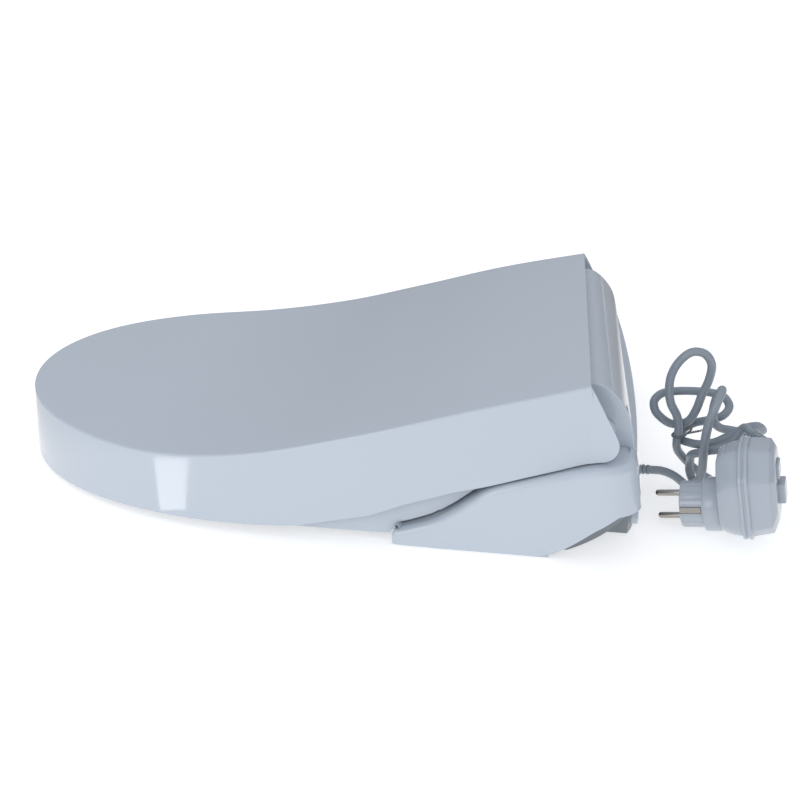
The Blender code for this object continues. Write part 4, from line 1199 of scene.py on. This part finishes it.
def add_cord():
    on_lead = add_plug() + add_tie()
    sleeve = turned(strain_relief(-2.4, 5, GLAND_LENGTH / MM, 3.8, 4), gland_frame(), 40)
    on_lead.append(piece("plug_strain_relief", sleeve, "cord_sheath", "unit", ["plug_cord_gland"]))
    outlet = turned(strain_relief(0, 4.9, 23, 3.8, 6), backward_frame(*LEAD_OUTLET), 40)
    on_lead.append(piece("unit_strain_relief", outlet, "cord_sheath", "unit", ["cord_gland"]))
    on_lead += [nodes["earth_clip_left"], nodes["earth_clip_right"]]
    tip = gland_frame() @ Vector((0, 0, GLAND_LENGTH))
    heading = plug_matrix().to_3x3() @ PLUG_GLAND_AXIS.normalized()
    approach = [tuple((tip + heading * run * MM) / MM) for run in (11, 0.4)]
    route = smooth_route(CORD_ROUTE + approach)
    lead = wire("mains_lead", route, CORD_DIAMETER / 2, "cord_sheath", "unit", 6)
    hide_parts("power_cord")


# Floor and light


def glowing_panel(name, corners, shade, strength, roughness, specular=0.5):
    """A flat four-cornered surface that gives off white light, and its material's tree and shader."""
    made, tree, shader = principled(name, (shade, shade, shade), roughness, specular=specular)
    with_inputs(shader, {"Emission Color": (1, 1, 1, 1), "Emission Strength": strength})
    mesh = bpy.data.meshes.new(name)
    mesh.from_pydata(corners, [], [(0, 1, 2, 3)])
    mesh.materials.append(made)
    return linked(name, mesh), tree, shader


def square(half, height):
    return [(-half, -half, height), (half, -half, height), (half, half, height), (-half, half, height)]


def only_in_reflections(obj):
    obj.visible_camera = False
    obj.visible_diffuse = False
    obj.visible_shadow = False
    obj.visible_transmission = False


def add_floor():
    floor, _, _ = glowing_panel("floor", square(FLOOR_HALF, 0), 0.8, FLOOR_GLOW, 0.9, specular=0.1)


def add_flag():
    """A dark card on the floor, seen only in reflections: it shades the front tip and the hinge cover."""
    flag, tree, shader = glowing_panel("reflection_flag", square(FLAG_HALF, FLAG_HEIGHT), 0.0, 1.0, 1.0)
    split = tree.nodes.new("ShaderNodeSeparateXYZ")
    tree.links.new(object_place(tree), split.inputs["Vector"])
    both = tree.nodes.new("ShaderNodeMath")
    both.operation = "MULTIPLY"
    for index, (axis, dark, bright) in enumerate(FLAG_FADES):
        fade = ranged(tree, split.outputs[axis], FLAG_DARKEST, 1.0, dark, bright)
        tree.links.new(fade, both.inputs[index])
    tree.links.new(both.outputs[0], shader.inputs["Emission Strength"])
    only_in_reflections(flag)


def add_low_softbox():
    """A small panel on the floor whose mirror image lies upright on the lid's skirt."""
    along = LOW_SOFTBOX_ALONG
    aside = Vector((-along.y, along.x, 0))
    (near, near_half), (far, far_half) = LOW_SOFTBOX_ENDS
    ends = ((near, -near_half), (near, near_half), (far, far_half), (far, -far_half))
    corners = [LOW_SOFTBOX_PLACE + (along * run + aside * reach) * MM for run, reach in ends]
    panel, _, _ = glowing_panel("low_softbox", corners, 0.0, LOW_SOFTBOX_STRENGTH, 0.5)
    only_in_reflections(panel)


def add_world():
    """A studio room: soft light from overhead and from the +X side, dim towards both ends."""
    world = bpy.data.worlds.new("world")
    world.use_nodes = True
    bpy.context.scene.world = world
    bpy.context.scene.view_settings.view_transform = "Standard"
    tree = world.node_tree
    place = tree.nodes.new("ShaderNodeTexCoord")
    split = tree.nodes.new("ShaderNodeSeparateXYZ")
    tree.links.new(place.outputs["Generated"], split.inputs["Vector"])
    total = None
    for axis, reach, amount in WORLD_GLOW:
        glow = ranged(tree, split.outputs[axis], 0.0, amount, 0.0, reach)
        add = tree.nodes.new("ShaderNodeMath")
        add.inputs[1].default_value = WORLD_BASE
        tree.links.new(glow, add.inputs[0])
        if total:
            tree.links.new(total, add.inputs[1])
        total = add.outputs[0]
    background = tree.nodes["Background"]
    background.inputs["Color"].default_value = WORLD_COLOUR
    tree.links.new(total, background.inputs["Strength"])


def add_softbox():
    data = bpy.data.lights.new("softbox", "AREA")
    data.shape = "RECTANGLE"
    data.size, data.size_y = SOFTBOX_SIZE
    data.energy = SOFTBOX_POWER
    light = linked("softbox", data)
    light.location = SOFTBOX_PLACE
    light.rotation_mode = "QUATERNION"
    light.rotation_quaternion = (SOFTBOX_TARGET - SOFTBOX_PLACE).to_track_quat("-Z", "Y")


add_camera()
finish_cad_nodes()
add_cord()
add_lid()
add_seat()
add_side_panels()
add_hinge_cover()
add_rear_wall()
add_drain_plug()
add_lower_case()
add_nozzle_jets()
add_floor()
add_flag()
add_low_softbox()
add_world()
add_softbox()
